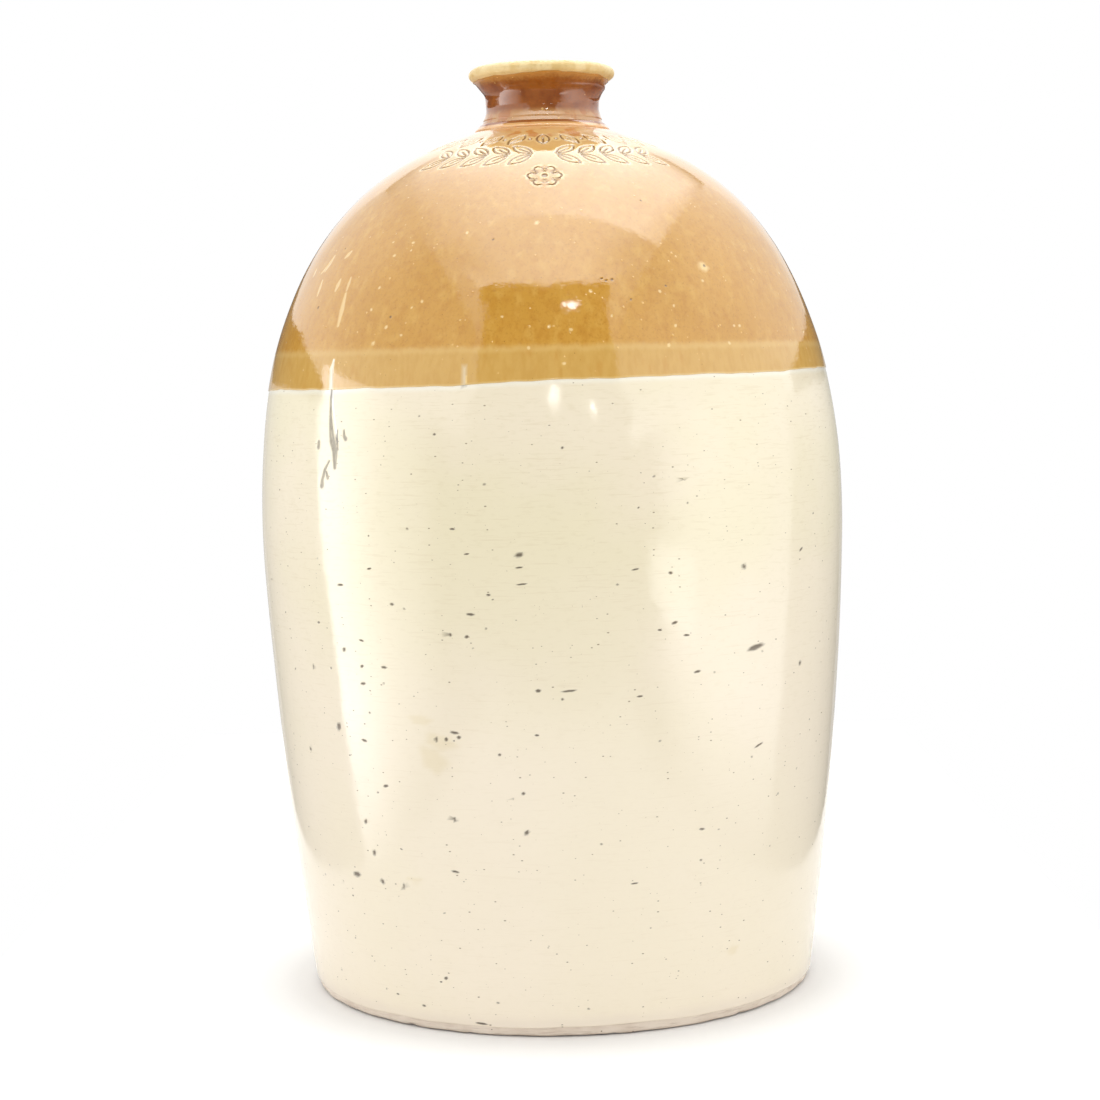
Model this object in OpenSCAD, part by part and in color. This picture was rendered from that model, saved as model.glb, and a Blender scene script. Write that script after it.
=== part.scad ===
// Stoneware flagon with a dipped shoulder, a flared neck and a cork bung.
// Origin at the centre of the face that it stands on, +Z up through the mouth.

/* [Wall] */
// Diameter of the face that it stands on
foot_d = 247.4; // [236:0.2:256]
// Width of the rounded edge round the foot
foot_round_w = 2.5; // [2:0.5:4]
// Height of the rounded edge round the foot, which stays free of glaze
foot_round_h = 5; // [3:0.5:8]
// Outward lean of the wall just above the foot, in degrees
foot_lean = 7.7; // [5:0.1:10]
// Diameter at the widest ring
girth_d = 291.8; // [280:0.2:304]
// Height of the widest ring, where the two thrown sections meet
girth_h = 234; // [215:1:250]

/* [Shoulder] */
// Rise of the shoulder from the widest ring to the foot of the neck
shoulder_rise = 193; // [180:1:206]
// Fall of the shoulder at the foot of the neck, in degrees
shoulder_fall = 29.5; // [24:0.5:34]

/* [Clay] */
// Thickness of the wall just above the floor
foot_wall_t = 12.5; // [11:0.5:15]
// Thickness of the wall at the widest ring
girth_wall_t = 9.5; // [8:0.5:12]
// Thickness of the shoulder at the neck
crown_wall_t = 8.5; // [7:0.5:10]
// Height of the inside floor above the table
floor_h = 14; // [11:0.5:18]
// Radius of the corner between the floor and the wall inside
floor_corner_r = 24; // [16:1:32]
// Width of the flat ring that it stands on, round the shallow hollow under the base
foot_ring_w = 20.7; // [14:0.1:34]
// Depth of the shallow hollow under the base
base_hollow_depth = 2; // [1:0.5:3]
// Width of the sloping edge of that hollow
base_hollow_edge = 9; // [4:1:14]
// Width of the ridge that keys the shoulder into the lower section
seam_ridge_w = 4; // [3:0.5:5]
// Height of the ridge that keys the shoulder into the lower section
seam_ridge_h = 2.5; // [1.5:0.5:4]

/* [Neck] */
// Height of the neck above the shoulder
neck_h = 33; // [31:0.5:36]
// Outside diameter at the foot of the neck
neck_foot_d = 68.8; // [66:0.2:74]
// Steepness of the neck where it rises from its foot, in degrees
neck_foot_rise = 42; // [38:1:50]
// Outside diameter at the waist of the neck
neck_waist_d = 56.4; // [55:0.2:59]
// Height of the waist above the foot of the neck
neck_waist_h = 11; // [10:0.5:12]
// Outside diameter of the rolled lip
lip_d = 74.1; // [70:0.1:78]
// Radius of the roll of the lip
lip_roll_r = 4.6; // [4:0.1:5.2]
// Angle below level where the flare of the neck runs into the roll
lip_join_angle = 41; // [35:1:50]
// Radius of the upper groove, at the foot of the flare
upper_groove_r = 1.7; // [1.4:0.1:1.9]
// Height of the upper groove above the foot of the neck
upper_groove_h = 4.6; // [4.2:0.1:5.2]
// How far the centre of the upper groove stands outside the clay
upper_groove_lift = 0.8; // [0.5:0.1:1]
// Radius of the lower groove, where the neck meets the shoulder
lower_groove_r = 1.2; // [1:0.1:1.4]
// How far the centre of the lower groove stands outside the clay
lower_groove_lift = 0.5; // [0.3:0.1:0.7]

/* [Mouth] */
// Diameter of the mouth where the bung enters
mouth_d = 39; // [37:0.5:40]
// Diameter of the throat at the foot of the neck
throat_d = 35; // [33:0.5:36]
// Radius of the inner edge of the lip
mouth_round_r = 3.5; // [2.5:0.5:4]

/* [Glaze] */
// Thickness of the cream glaze
cream_t = 0.5; // [0.3:0.1:0.7]
// Thickness of the ochre glaze
ochre_t = 0.4; // [0.3:0.1:0.6]
// Thickness of the glaze that lines the inside
lining_t = 0.4; // [0.3:0.1:0.6]
// Rise of the lower edge of the ochre glaze above the widest ring
dip_line_rise = 69.5; // [50:0.5:100]
// Height of the band in which the ochre glaze laps over the cream
overlap_h = 15.5; // [8:0.5:24]
// Height over which the ochre glaze settles above that band
overlap_fade_h = 3; // [2:0.5:5]
// Height of the bare band round the top of the lip
bare_lip_h = 7; // [6:0.25:8]

/* [Bung] */
// Length of the cork bung
bung_l = 28; // [22:1:28]
// Depth of the top of the bung below the top of the lip
bung_sink = 5; // [4:0.5:5]
// Gap between the bung and the glazed mouth
bung_gap = 0.15; // [0.1:0.05:0.3]
// Bevel round both ends of the bung
bung_bevel = 1.2; // [0.6:0.2:2]

/* [Hidden] */
$fn = 144;
wall_steps = 24;
neck_steps = 12;
corner_steps = 8;
overrun = 1;

// Heights and radii that several pieces share
foot_r = foot_d / 2;
wall_foot_r = foot_r + foot_round_w;
base_hollow_r = foot_r - foot_ring_w;
girth_r = girth_d / 2;
neck_foot_r = neck_foot_d / 2;
neck_foot_h = girth_h + shoulder_rise;
dip_line_h = girth_h + dip_line_rise;
cream_top_h = dip_line_h + overlap_h;
total_h = neck_foot_h + neck_h;
mouth_r = mouth_d / 2;
throat_r = throat_d / 2;
mouth_edge_h = total_h - mouth_round_r;
lip_centre = [lip_d / 2 - lip_roll_r, total_h - lip_roll_r];
seam_mid_r = girth_r - girth_wall_t / 2;

// How far each end of a curve keeps its first direction, as a share of the height or run that it spans
foot_pull_share = 0.55;
wall_foot_pull_share = 0.44;
wall_girth_pull_share = 0.15;
shoulder_girth_pull_share = 0.89;
shoulder_neck_pull_share = 0.18;
sweep_pull_share = 0.32;
waist_pull_share = 0.45;
flare_pull_share = 0.4;
corner_pull_share = 0.55;
throat_pull_share = 0.6;

function direction(angle) = [cos(angle), sin(angle)];

function mix(a, b, t) = a + (b - a) * t;

// Point of a cubic curve, given by its two ends and the two points that pull it
function on_curve(c, t) =
    pow(1 - t, 3) * c[0] + 3 * pow(1 - t, 2) * t * c[1] + 3 * (1 - t) * t * t * c[2] + pow(t, 3) * c[3];

// Direction in which the same curve runs, not brought to unit length
function along_curve(c, t) =
    pow(1 - t, 2) * (c[1] - c[0]) + 2 * (1 - t) * t * (c[2] - c[1]) + t * t * (c[3] - c[2]);

// Point at a distance outside a curve that runs upwards
function beside_curve(c, t, distance) =
    let (run = along_curve(c, t)) on_curve(c, t) + distance * [run[1], -run[0]] / norm(run);

// Share of a curve at which it reaches a height, found by halving
function share_at_height(c, h, low = 0, high = 1, halvings = 24) =
    let (mid = (low + high) / 2)
    halvings == 0 ? mid
    : on_curve(c, mid)[1] < h ? share_at_height(c, h, mid, high, halvings - 1)
    : share_at_height(c, h, low, mid, halvings - 1);

// Evenly spaced shares between two shares of a curve
function shares_between(a, b, steps) = [for (i = [0:steps]) mix(a, b, i / steps)];

function reversed(list) = [for (i = [len(list) - 1:-1:0]) list[i]];

function but_last(list) = [for (i = [0:len(list) - 2]) list[i]];

// Outside of the clay, from the table to the lip
foot_curve = [
    [foot_r, 0],
    [foot_r + foot_pull_share * foot_round_w, 0],
    [wall_foot_r, foot_round_h] - foot_pull_share * foot_round_h * direction(90 - foot_lean),
    [wall_foot_r, foot_round_h]
];
wall_curve = [
    [wall_foot_r, foot_round_h],
    [wall_foot_r, foot_round_h]
        + wall_foot_pull_share * (girth_h - foot_round_h) * direction(90 - foot_lean),
    [girth_r, girth_h - wall_girth_pull_share * (girth_h - foot_round_h)],
    [girth_r, girth_h]
];
shoulder_curve = [
    [girth_r, girth_h],
    [girth_r, girth_h + shoulder_girth_pull_share * shoulder_rise],
    [neck_foot_r, neck_foot_h]
        + shoulder_neck_pull_share * (girth_r - neck_foot_r) * direction(-shoulder_fall),
    [neck_foot_r, neck_foot_h]
];
neck_waist = [neck_waist_d / 2, neck_foot_h + neck_waist_h];
sweep_curve = [
    [neck_foot_r, neck_foot_h],
    [neck_foot_r, neck_foot_h] + sweep_pull_share * neck_waist_h * direction(180 - neck_foot_rise),
    neck_waist - [0, waist_pull_share * neck_waist_h],
    neck_waist
];
lip_join = lip_centre + lip_roll_r * direction(-lip_join_angle);
flare_h = lip_join[1] - neck_waist[1];
flare_curve = [
    neck_waist,
    neck_waist + [0, flare_pull_share * flare_h],
    lip_join - flare_pull_share * flare_h * direction(90 - lip_join_angle),
    lip_join
];

// Stops along the shoulder: girth, dip line, top of the cream, ochre settled on bare clay, neck
GIRTH = 0;
DIP_LINE = 1;
CREAM_TOP = 2;
SETTLED = 3;
NECK_FOOT = 4;
shoulder_stop_shares = [
    0,
    share_at_height(shoulder_curve, dip_line_h),
    share_at_height(shoulder_curve, cream_top_h),
    share_at_height(shoulder_curve, cream_top_h + overlap_fade_h),
    1
];
shoulder_stop_steps = [8, 3, 1, 22];

// Centres of the two grooves round the foot of the neck
upper_groove_share = share_at_height(sweep_curve, neck_foot_h + upper_groove_h);
upper_groove = beside_curve(sweep_curve, upper_groove_share, upper_groove_lift);
lower_groove = [neck_foot_r, neck_foot_h]
    + lower_groove_lift * direction(90 - (shoulder_fall + neck_foot_rise) / 2);

// Shares of the shoulder curve from one stop to another, the same for clay and glaze
function shares_along_shoulder(from, to) = concat(
    [
        for (stop = [from:to - 1])
            each but_last(shares_between(
                shoulder_stop_shares[stop], shoulder_stop_shares[stop + 1], shoulder_stop_steps[stop]
            ))
    ],
    [shoulder_stop_shares[to]]
);

function wall_side(coat) = [
    for (t = shares_between(0, 1, wall_steps)) beside_curve(wall_curve, t, coat)
];

function shoulder_side(from, to, coat) = [
    for (t = shares_along_shoulder(from, to)) beside_curve(shoulder_curve, t, coat)
];

// Inside of the wall and the shoulder, which thin upwards
corner_share = share_at_height(wall_curve, floor_h + floor_corner_r);

function wall_inside(coat) = [
    for (t = shares_between(corner_share, 1, wall_steps))
        beside_curve(wall_curve, t, -mix(foot_wall_t, girth_wall_t, t) - coat)
];

function shoulder_inside(coat) = [
    for (t = shares_along_shoulder(GIRTH, NECK_FOOT))
        beside_curve(shoulder_curve, t, -mix(girth_wall_t, crown_wall_t, t) - coat)
];

// Rounded corner from the floor up to the inside of the wall
function floor_corner(coat) =
    let (
        top = wall_inside(coat)[0],
        up = along_curve(wall_curve, corner_share),
        start = [top[0] - floor_corner_r, floor_h + coat],
        corner = [
            start,
            start + [corner_pull_share * floor_corner_r, 0],
            top - corner_pull_share * (top[1] - start[1]) * up / norm(up),
            top
        ]
    )
    [for (t = shares_between(0, 1, corner_steps)) on_curve(corner, t)];

// Rounded way from the inside of the shoulder into the throat
function throat_sweep(start, coat) =
    let (
        end = [throat_r + lining_t - coat, neck_foot_h],
        rise = end[1] - start[1],
        sweep = [
            start,
            start + throat_pull_share * rise * direction(180 - shoulder_fall),
            end - [0, throat_pull_share * rise],
            end
        ]
    )
    [for (t = shares_between(0, 1, corner_steps)) on_curve(sweep, t)];

// Whole inside, as bare clay with a coat of 0 or as the glazed surface with a coat of lining_t
function cavity(coat, top_h) =
    let (dome = shoulder_inside(coat))
    concat(
        [[0, floor_h + coat]],
        but_last(floor_corner(coat)),
        but_last(wall_inside(coat)),
        but_last(dome),
        throat_sweep(dome[len(dome) - 1], coat),
        [[mouth_r + lining_t - coat, mouth_edge_h], [mouth_r + lining_t - coat, top_h], [0, top_h]]
    );

module inside(coat = 0, top_h = total_h + overrun) {
    polygon(cavity(coat, top_h));
}

// Everything inside a glazed or bare upper surface: dome, neck and lip, with its two grooves
module upper_outline(side, coat) {
    neck_side = concat(
        [for (t = but_last(shares_between(0, 1, neck_steps))) beside_curve(sweep_curve, t, coat)],
        [for (t = shares_between(0, 1, neck_steps)) beside_curve(flare_curve, t, coat)]
    );
    difference() {
        union() {
            polygon(concat([[0, side[0][1]]], side, [[0, side[len(side) - 1][1]]]));
            polygon(concat([[0, neck_foot_h]], neck_side, [lip_centre, [0, lip_centre[1]]]));
            translate(lip_centre)
                circle(r = lip_roll_r + coat);
        }
        translate(lower_groove)
            circle(r = lower_groove_r - coat);
        translate(upper_groove)
            circle(r = upper_groove_r - coat);
    }
}

// Key across the rim at the seam, from the outer side of the ridge to the inner side
seam_key = [
    [seam_mid_r + seam_ridge_w / 2, girth_h],
    [seam_mid_r, girth_h - seam_ridge_h],
    [seam_mid_r - seam_ridge_w / 2, girth_h]
];

// Floor and wall, thrown as one and trimmed at the foot
module lower_body() {
    foot = [for (t = shares_between(0, 1, corner_steps)) on_curve(foot_curve, t)];
    color([0.80, 0.72, 0.64])
        rotate_extrude()
            difference() {
                polygon(concat(
                    [
                        [0, base_hollow_depth],
                        [base_hollow_r - base_hollow_edge, base_hollow_depth],
                        [base_hollow_r, 0]
                    ],
                    but_last(foot),
                    wall_side(0),
                    seam_key,
                    [[0, girth_h]]
                ));
                inside();
            }
}

// Domed upper section, keyed and luted to the lower one
module shoulder_dome() {
    color([0.82, 0.74, 0.66])
        rotate_extrude()
            difference() {
                polygon(concat(
                    [[0, girth_h]],
                    reversed(seam_key),
                    shoulder_side(GIRTH, NECK_FOOT, 0),
                    [[0, neck_foot_h]]
                ));
                inside();
                translate(lower_groove)
                    circle(r = lower_groove_r);
            }
}

// Flared neck and rolled lip, luted to the top of the dome
module neck_ring() {
    mouth_edge = [mouth_r + lining_t + mouth_round_r, mouth_edge_h];
    color([0.88, 0.80, 0.62])
        rotate_extrude()
            difference() {
                union() {
                    intersection() {
                        upper_outline([[neck_foot_r, girth_h], [neck_foot_r, neck_foot_h]], 0);
                        translate([0, neck_foot_h])
                            square([lip_d, neck_h]);
                    }
                    translate([0, lip_centre[1]])
                        square([lip_centre[0], lip_roll_r]);
                }
                inside();
                difference() {
                    translate([0, mouth_edge_h])
                        square([mouth_edge[0], mouth_round_r + overrun]);
                    translate(mouth_edge)
                        circle(r = mouth_round_r);
                }
            }
}

// Cream glaze, from just above the foot to a line hidden under the ochre
module cream_glaze() {
    color([0.94, 0.90, 0.80])
        rotate_extrude()
            polygon(concat(
                but_last(wall_side(0)),
                shoulder_side(GIRTH, CREAM_TOP, 0),
                reversed(shoulder_side(GIRTH, CREAM_TOP, cream_t)),
                reversed(but_last(wall_side(cream_t)))
            ));
}

// Ochre glaze, dipped over the dome and the neck and down over the edge of the cream
module ochre_glaze() {
    under = concat(
        shoulder_side(DIP_LINE, CREAM_TOP, cream_t),
        shoulder_side(CREAM_TOP, NECK_FOOT, 0)
    );
    over = concat(
        shoulder_side(DIP_LINE, CREAM_TOP, cream_t + ochre_t),
        shoulder_side(SETTLED, NECK_FOOT, ochre_t)
    );
    color([0.80, 0.58, 0.30])
        rotate_extrude()
            difference() {
                upper_outline(over, ochre_t);
                upper_outline(under, 0);
                translate([0, total_h - bare_lip_h])
                    square([lip_d, bare_lip_h + overrun]);
                polygon([[0, dip_line_h - overrun], over[0], under[0], [0, under[0][1] + overrun]]);
            }
}

// Glaze that seals the whole inside, from the floor to the edge of the mouth
module lining_glaze() {
    color([0.66, 0.50, 0.32])
        rotate_extrude()
            difference() {
                inside(0, mouth_edge_h);
                inside(lining_t, mouth_edge_h + overrun);
            }
}

// Tapered cork bung, pressed in just below the top of the lip
module cork_bung() {
    top_h = total_h - bung_sink;
    bottom_h = top_h - bung_l;
    bore_h = mouth_edge_h - neck_foot_h;
    top_r = mix(throat_r, mouth_r, (top_h - neck_foot_h) / bore_h) - bung_gap;
    bottom_r = mix(throat_r, mouth_r, (bottom_h - neck_foot_h) / bore_h) - bung_gap;
    color([0.72, 0.54, 0.36])
        rotate_extrude()
            polygon([
                [0, bottom_h],
                [bottom_r - bung_bevel, bottom_h],
                [bottom_r, bottom_h + bung_bevel],
                [top_r, top_h - bung_bevel],
                [top_r - bung_bevel, top_h],
                [0, top_h]
            ]);
}

lower_body();
shoulder_dome();
neck_ring();
cream_glaze();
ochre_glaze();
lining_glaze();
cork_bung();
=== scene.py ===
"""Looks of a stoneware flagon: two glazes over turned clay, a bare lip and foot, and a cork bung."""

import math
import random

import bmesh
import bpy
import numpy as np
from mathutils import Euler, Matrix, Vector


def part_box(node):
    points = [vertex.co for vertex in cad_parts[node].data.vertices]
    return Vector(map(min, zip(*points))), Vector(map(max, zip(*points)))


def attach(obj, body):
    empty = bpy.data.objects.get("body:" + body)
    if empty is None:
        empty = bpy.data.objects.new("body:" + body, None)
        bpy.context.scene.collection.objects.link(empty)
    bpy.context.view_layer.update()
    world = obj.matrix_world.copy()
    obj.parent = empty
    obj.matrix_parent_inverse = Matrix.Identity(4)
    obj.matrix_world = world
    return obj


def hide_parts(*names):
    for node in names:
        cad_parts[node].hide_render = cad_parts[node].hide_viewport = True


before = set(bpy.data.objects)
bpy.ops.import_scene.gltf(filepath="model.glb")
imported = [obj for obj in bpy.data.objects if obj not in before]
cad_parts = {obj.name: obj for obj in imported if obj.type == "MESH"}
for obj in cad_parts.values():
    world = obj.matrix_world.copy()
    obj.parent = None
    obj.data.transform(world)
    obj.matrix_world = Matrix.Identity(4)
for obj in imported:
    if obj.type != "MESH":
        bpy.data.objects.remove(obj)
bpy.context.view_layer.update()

MM = 0.001
# Points nearer than this are one point
SAME_SPOT = 2e-6

# Camera, and the photograph's frame that the pixel places below belong to
PHOTO_SIZE = 1100
SENSOR_W = 36.0
LENS = 77.1
CAMERA_PLACE = Vector((-0.0015, -1.196, 0.312))
CAMERA_DOWN = math.radians(4.55)
CAMERA_ROLL = math.radians(1.2)
CAMERA_TURN = Euler((math.pi / 2 - CAMERA_DOWN, 0, 0)).to_matrix() @ Matrix.Rotation(-CAMERA_ROLL, 3, "Z")
PIXEL = 0.465 * MM
# Distances before the camera at which a line of sight is tested
SIGHT_STEPS = np.linspace(1.0, 1.25, 2500)

# Heights and thicknesses of the glazes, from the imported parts
BARE_FOOT_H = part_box("cream_glaze")[0].z
CREAM_TOP_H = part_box("cream_glaze")[1].z
DIP_LINE_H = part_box("ochre_glaze")[0].z
OCHRE_TOP_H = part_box("ochre_glaze")[1].z
GIRTH_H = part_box("lower_body")[1].z
NECK_FOOT_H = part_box("neck_ring")[0].z
LIP_TOP_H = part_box("neck_ring")[1].z
CREAM_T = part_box("cream_glaze")[1].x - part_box("lower_body")[1].x
OCHRE_T = 0.4 * MM

# How deep a coat is let into the clay, so that no mark on it bares the clay solid
COAT_ROOT = 1.2 * MM
NECK_ROOT = 0.2 * MM
ROOT_FADE = 8 * MM
LAP = 0.05 * MM
SETTLE = 30 * MM
COAT_EDGE_ROUND = 0.18 * MM
# Bends sharper than these stay corners: in an outline, and in a mesh's shading
STRAIGHT_COS = math.cos(math.radians(20))
SHARP_ANGLE = math.radians(42)

# How the hand-turned axis strays sideways, as heights and shifts in mm, and how the shape is out of round
WANDER = MM * np.array((
    (0, 1.2), (60, 1.0), (120, 0.75), (170, 0.5), (215, 0), (270, 0), (300, -0.5), (330, -0.8),
    (355, -0.75), (385, -0.4), (410, -0.35), (421, -0.8), (429, -0.95), (436, -0.6), (442, -0.65),
    (445.5, -0.2), (449, -0.1), (452, -0.8), (460, -0.85),
)).T
OVAL_SHARE = 0.0011
LIP_SINK = 0.8 * MM
THROW_RIPPLE = 0.003 * MM
THROW_PITCH = 8.5 * MM
# The skin's outline: its step, and how many steps to each side its dome and its hollows are averaged over
SKIN_STEP = 0.2 * MM
DOME_SOFTENING = 25
HOLLOW_REACH = 14
# Where the neck is drawn in: height, reach up and down, and depth in mm
NECK_TUCKS = ((455.0, 3.0, 0.5), (451.6, 3.6, 1.85), (448.0, 8.5, 2.1), (440.0, 5.0, 0.35))
# Radii between which the neck starts to be drawn in, so that its bore stays round
TUCK_FADE = (22 * MM, 27 * MM)
# Chips in the lower edge of the foot: turn in radians, half length and depth in mm
FOOT_CHIPS = (
    (-0.62, 3.0, 0.8), (-0.36, 2.2, 0.7), (0.18, 1.6, 0.5), (0.74, 2.6, 0.7), (1.5, 4.0, 0.9),
    (2.4, 2.5, 0.7), (-1.7, 3.5, 0.9), (-2.6, 2.0, 0.6), (3.0, 3.0, 0.8),
)
LINING_RINGS = 0.35 * MM
LINING_RING_PITCH = 11 * MM
CORK_PORES = 150

# Dark pits in the cream glaze: pixel x and y, length and width in pixels, tilt in degrees
CREAM_PITS_PX = (
    (519, 555, 8, 5, 5), (519, 567.6, 7, 2, 5), (521.7, 584.3, 10, 2, 6), (470.3, 614.4, 8, 3, 0),
    (569, 691, 14, 2.4, 4), (488.3, 594.9, 4, 2.5, 0), (340.1, 584.9, 7, 2.5, 5), (369, 568.7, 5, 2, 5),
    (391.8, 604.3, 4, 3, 0), (343.8, 649.6, 3.5, 5, 0), (383.9, 667.4, 6, 3, 0), (361.8, 666.3, 4, 3, 30),
    (362.9, 683.6, 6, 3, 0), (361.2, 640.5, 6, 2, -10), (338.6, 726.6, 5, 9, 0), (364.2, 740.5, 6, 3, -15),
    (454.4, 732.7, 9, 3, -3), (436.2, 739.6, 4, 5, 0), (446.2, 739.4, 4, 4, 0), (458.8, 737.4, 4, 4, 20),
    (538.2, 690.8, 5, 4, 0), (536.9, 735.3, 5, 2, 0), (499.6, 754.8, 3, 3, 0), (385.7, 786, 6, 3, 15),
    (526.7, 832.7, 6, 4.5, 35), (374.2, 852.8, 4, 6, -20), (356.8, 874.1, 8, 6, 10),
    (382.4, 881.5, 5, 5, -40), (404.1, 885.8, 2.5, 5, 0), (455.3, 871.7, 9, 2.2, -8),
    (365.7, 821.4, 3, 6, -30), (454.4, 819.2, 3, 6, 40), (523.4, 793.6, 4, 3, 0), (450.1, 634.8, 3, 4, 0),
    (466.6, 636.8, 4, 3.5, 0), (318.4, 622.5, 2.5, 3, 0), (313.4, 666.9, 2.2, 5, 0),
    (310.4, 748.7, 2, 5, 15), (635.3, 569.4, 7, 2, 8), (670.5, 572.9, 4, 3, 0), (744.4, 566.3, 2.6, 7, 4),
    (801.1, 549.2, 5, 2.5, 28), (674.6, 622.7, 7, 2.6, 14), (659.8, 630, 5, 2, 0), (686.6, 635.1, 7, 2, 0),
    (755.9, 647.1, 19, 5.5, 13), (697.3, 671.6, 8, 2.5, 8), (639.9, 696.3, 6, 2.2, 0),
    (697.6, 713.7, 2, 5, 0), (758.8, 745.1, 9, 2.5, 18), (799.9, 662.9, 3, 5, 0),
    (452.1, 529.1, 6, 1.8, -4), (466.4, 554.1, 5, 2, 8), (562.3, 447.9, 3, 2.5, 0),
    (434.3, 434.5, 3, 2.5, 0), (445.9, 978.2, 4, 3.6, 0), (441, 981.8, 2.5, 2, 0), (424, 1005.6, 4, 2.5, 0),
    (481.6, 1023.5, 12, 2.6, -2), (702, 829, 6, 2.4, 0), (634.6, 883.4, 7, 1.8, 4), (701, 860, 2.5, 2.5, 0),
    (397.8, 993.9, 3, 2, 0),
)
# Soft stains in the cream glaze: pixel x and y, length and width in pixels
CREAM_STAINS_PX = (
    (440, 742, 34, 16), (433, 760, 26, 30), (420, 720, 22, 12), (733, 950, 12, 12), (415, 880, 24, 4),
)
# Pale spots on the ochre glaze: pixel x and y, diameter in pixels
OCHRE_SPOTS_PX = (
    (703.5, 267, 11.5), (703, 281, 3.2), (536.8, 223.2, 5.0), (660, 291.6, 3.6), (674, 306, 3.0),
    (675.5, 326, 3.4), (668.6, 345.6, 4.0), (739.4, 326, 3.4), (734, 326, 3.0), (802.7, 332, 3.4),
    (792.6, 329, 2.6), (729, 343.5, 3.6), (779.5, 273.6, 3.0), (564, 364, 3.6), (528.7, 348.4, 3.6),
    (590.6, 291, 3.4), (612, 316, 3.0), (571, 330, 3.6), (549, 327, 3.6), (502, 317, 2.8),
    (373.5, 343.7, 4.4), (371, 310, 3.4), (386, 327.6, 4.2), (394, 256, 3.6), (413, 243, 3.4),
    (410.8, 250.7, 2.6), (393, 242.6, 2.6), (421.7, 301.8, 3.4), (411.4, 308, 2.6), (401, 335.6, 3.0),
    (467, 233, 3.6), (379, 288, 3.4),
)
# Pale drag marks on the ochre glaze: pixel x and y of both ends, width in pixels
OCHRE_DRAGS_PX = (
    (334, 257, 325, 271, 5.0), (351, 252, 345, 258, 4.0), (322, 281, 317, 296, 3.4),
    (340, 280, 335, 291, 4.2), (350.5, 278, 346, 291, 3.2), (345.3, 294, 338, 326, 5.0),
    (331, 262, 321, 274, 3.0), (316, 270, 313, 277, 3.0),
)
# Dark pits in the ochre glaze: pixel x and y, diameter in pixels
OCHRE_PITS_PX = (
    (317.8, 308, 3.6), (390.4, 317.3, 3.0), (631, 299.7, 2.6), (612, 280, 3.2), (601.5, 279, 2.6),
    (666, 286, 2.6), (493, 240, 2.4), (641, 201, 2.4), (345, 249, 2.4), (704.5, 266, 3.4), (606, 281, 2.6),
)
# Scratches through both glazes: pixel x, pixel y and width in pixels along each
SCRATCHES_PX = (
    ((331.2, 390, 1.6), (330.4, 416, 3.2), (331, 430, 5.0), (332, 441, 6.6), (334.6, 451, 6.4),
     (334.6, 468, 3.2)),
    ((329, 461, 1.4), (324.5, 470, 2.6), (322, 480, 3.2), (321.6, 486, 4.4)),
    ((343.6, 430, 1.0), (344.0, 436, 3.0), (345.4, 439, 4.0)),
    ((318.6, 442, 3.0), (318.2, 447, 4.0)),
    ((337.4, 430, 1.0), (336.5, 438, 3.0), (337.6, 450, 1.6)),
    ((326.0, 472, 2.0), (327.5, 478, 3.0)),
)
# A score, pale partly as a scratch and partly as a painted highlight along it: pixel x, pixel y and width
# in pixels
SCORE_PX = ((334.2, 361, 2.4), (332.0, 370, 4.6), (331.4, 392, 4.6), (333.6, 412, 2.0), (337.2, 442, 1.6))
NICK_PX = ((464.8, 368, 1.6), (464.6, 378, 2.0), (464.5, 388, 1.4))

# Impressed ornament on the front of the dome, placed by its distance down from the foot of the neck
GARLAND_DOWN = 23 * MM
GARLAND_STEPS = 6
GARLAND_SPREAD = math.radians(78)
SPRIG_DOWN = 42 * MM
SPRIG_LEAVES = 5
SPRIG_START = math.radians(7)
SPRIG_END = math.radians(42)
ROSETTE_DOWN = 62 * MM
ROSETTE_R = 8 * MM
ROSETTE_PETALS = 6
STROKE = 0.55 * MM
STAMP_DEPTH = 0.5 * MM

# Loose marks that the photograph's view doesn't reach, and small ones all round
SIDE_START = math.radians(70)
SIDE_PITS = 90
SMALL_PITS = 110
SIDE_SPOTS = 60

# Meshes: columns round the axis, and the finest cell at a mark
COLUMNS = 240
CORK_COLUMNS = 160
FINE_CELL = 0.40 * MM
MOST_HALVINGS = 4
TONES = ("dark", "grey", "pale", "stain", "score")
# Share of the texture's height that the hidden side of a coat gets, next to its outer side
UNSEEN_TEXTURE = 0.25

# Light tent: its height and back, and how much light its walls, its roof and the room give
TENT_H = 1.22
TENT_BACK = 1.35
GLINT_SIDES = 16
GAP_H = 0.48
GAP_FOOT_H = 0.41
DARK_SHINE = 0.15
# Dark gap over each low wall: distance back, and the heights of its lower and upper edge
LEFT_DARK_BAND = (
    (0.05, 0.40, 0.44), (0.14, 0.40, 0.46), (0.23, 0.40, 0.48), (0.33, 0.40, 0.51), (0.45, 0.40, 0.53),
    (0.60, 0.395, 0.535), (1.35, 0.375, 0.55),
)
RIGHT_DARK_BAND = (
    (0.23, 0.40, 0.44), (0.29, 0.40, 0.45), (0.38, 0.40, 0.465), (0.46, 0.40, 0.49), (0.61, 0.395, 0.50),
    (1.0, 0.38, 0.515), (1.35, 0.375, 0.52),
)
WALL_GLOW = 1.12
RIGHT_WALL_GLOW = 1.35
ROOF_GLOW = 1.15
LEFT_GAP_GLOW = 1.3
RIGHT_GAP_GLOW = 0.5
ROOM_GLOW = 0.97
ROOM_SHINE = 0.4
# Table: its left, right, near and far edge, its white, and how far out its lift to white starts and ends
TABLE_EDGES = (-0.30, 0.29, -0.65, 0.8)
TABLE_WHITE = (0.87, 0.87, 0.87, 1)
TABLE_LIFT = 0.22
TABLE_CLEARANCE = 0.05 * MM
SHADOW_REACH = (0.135, 0.175)


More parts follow.
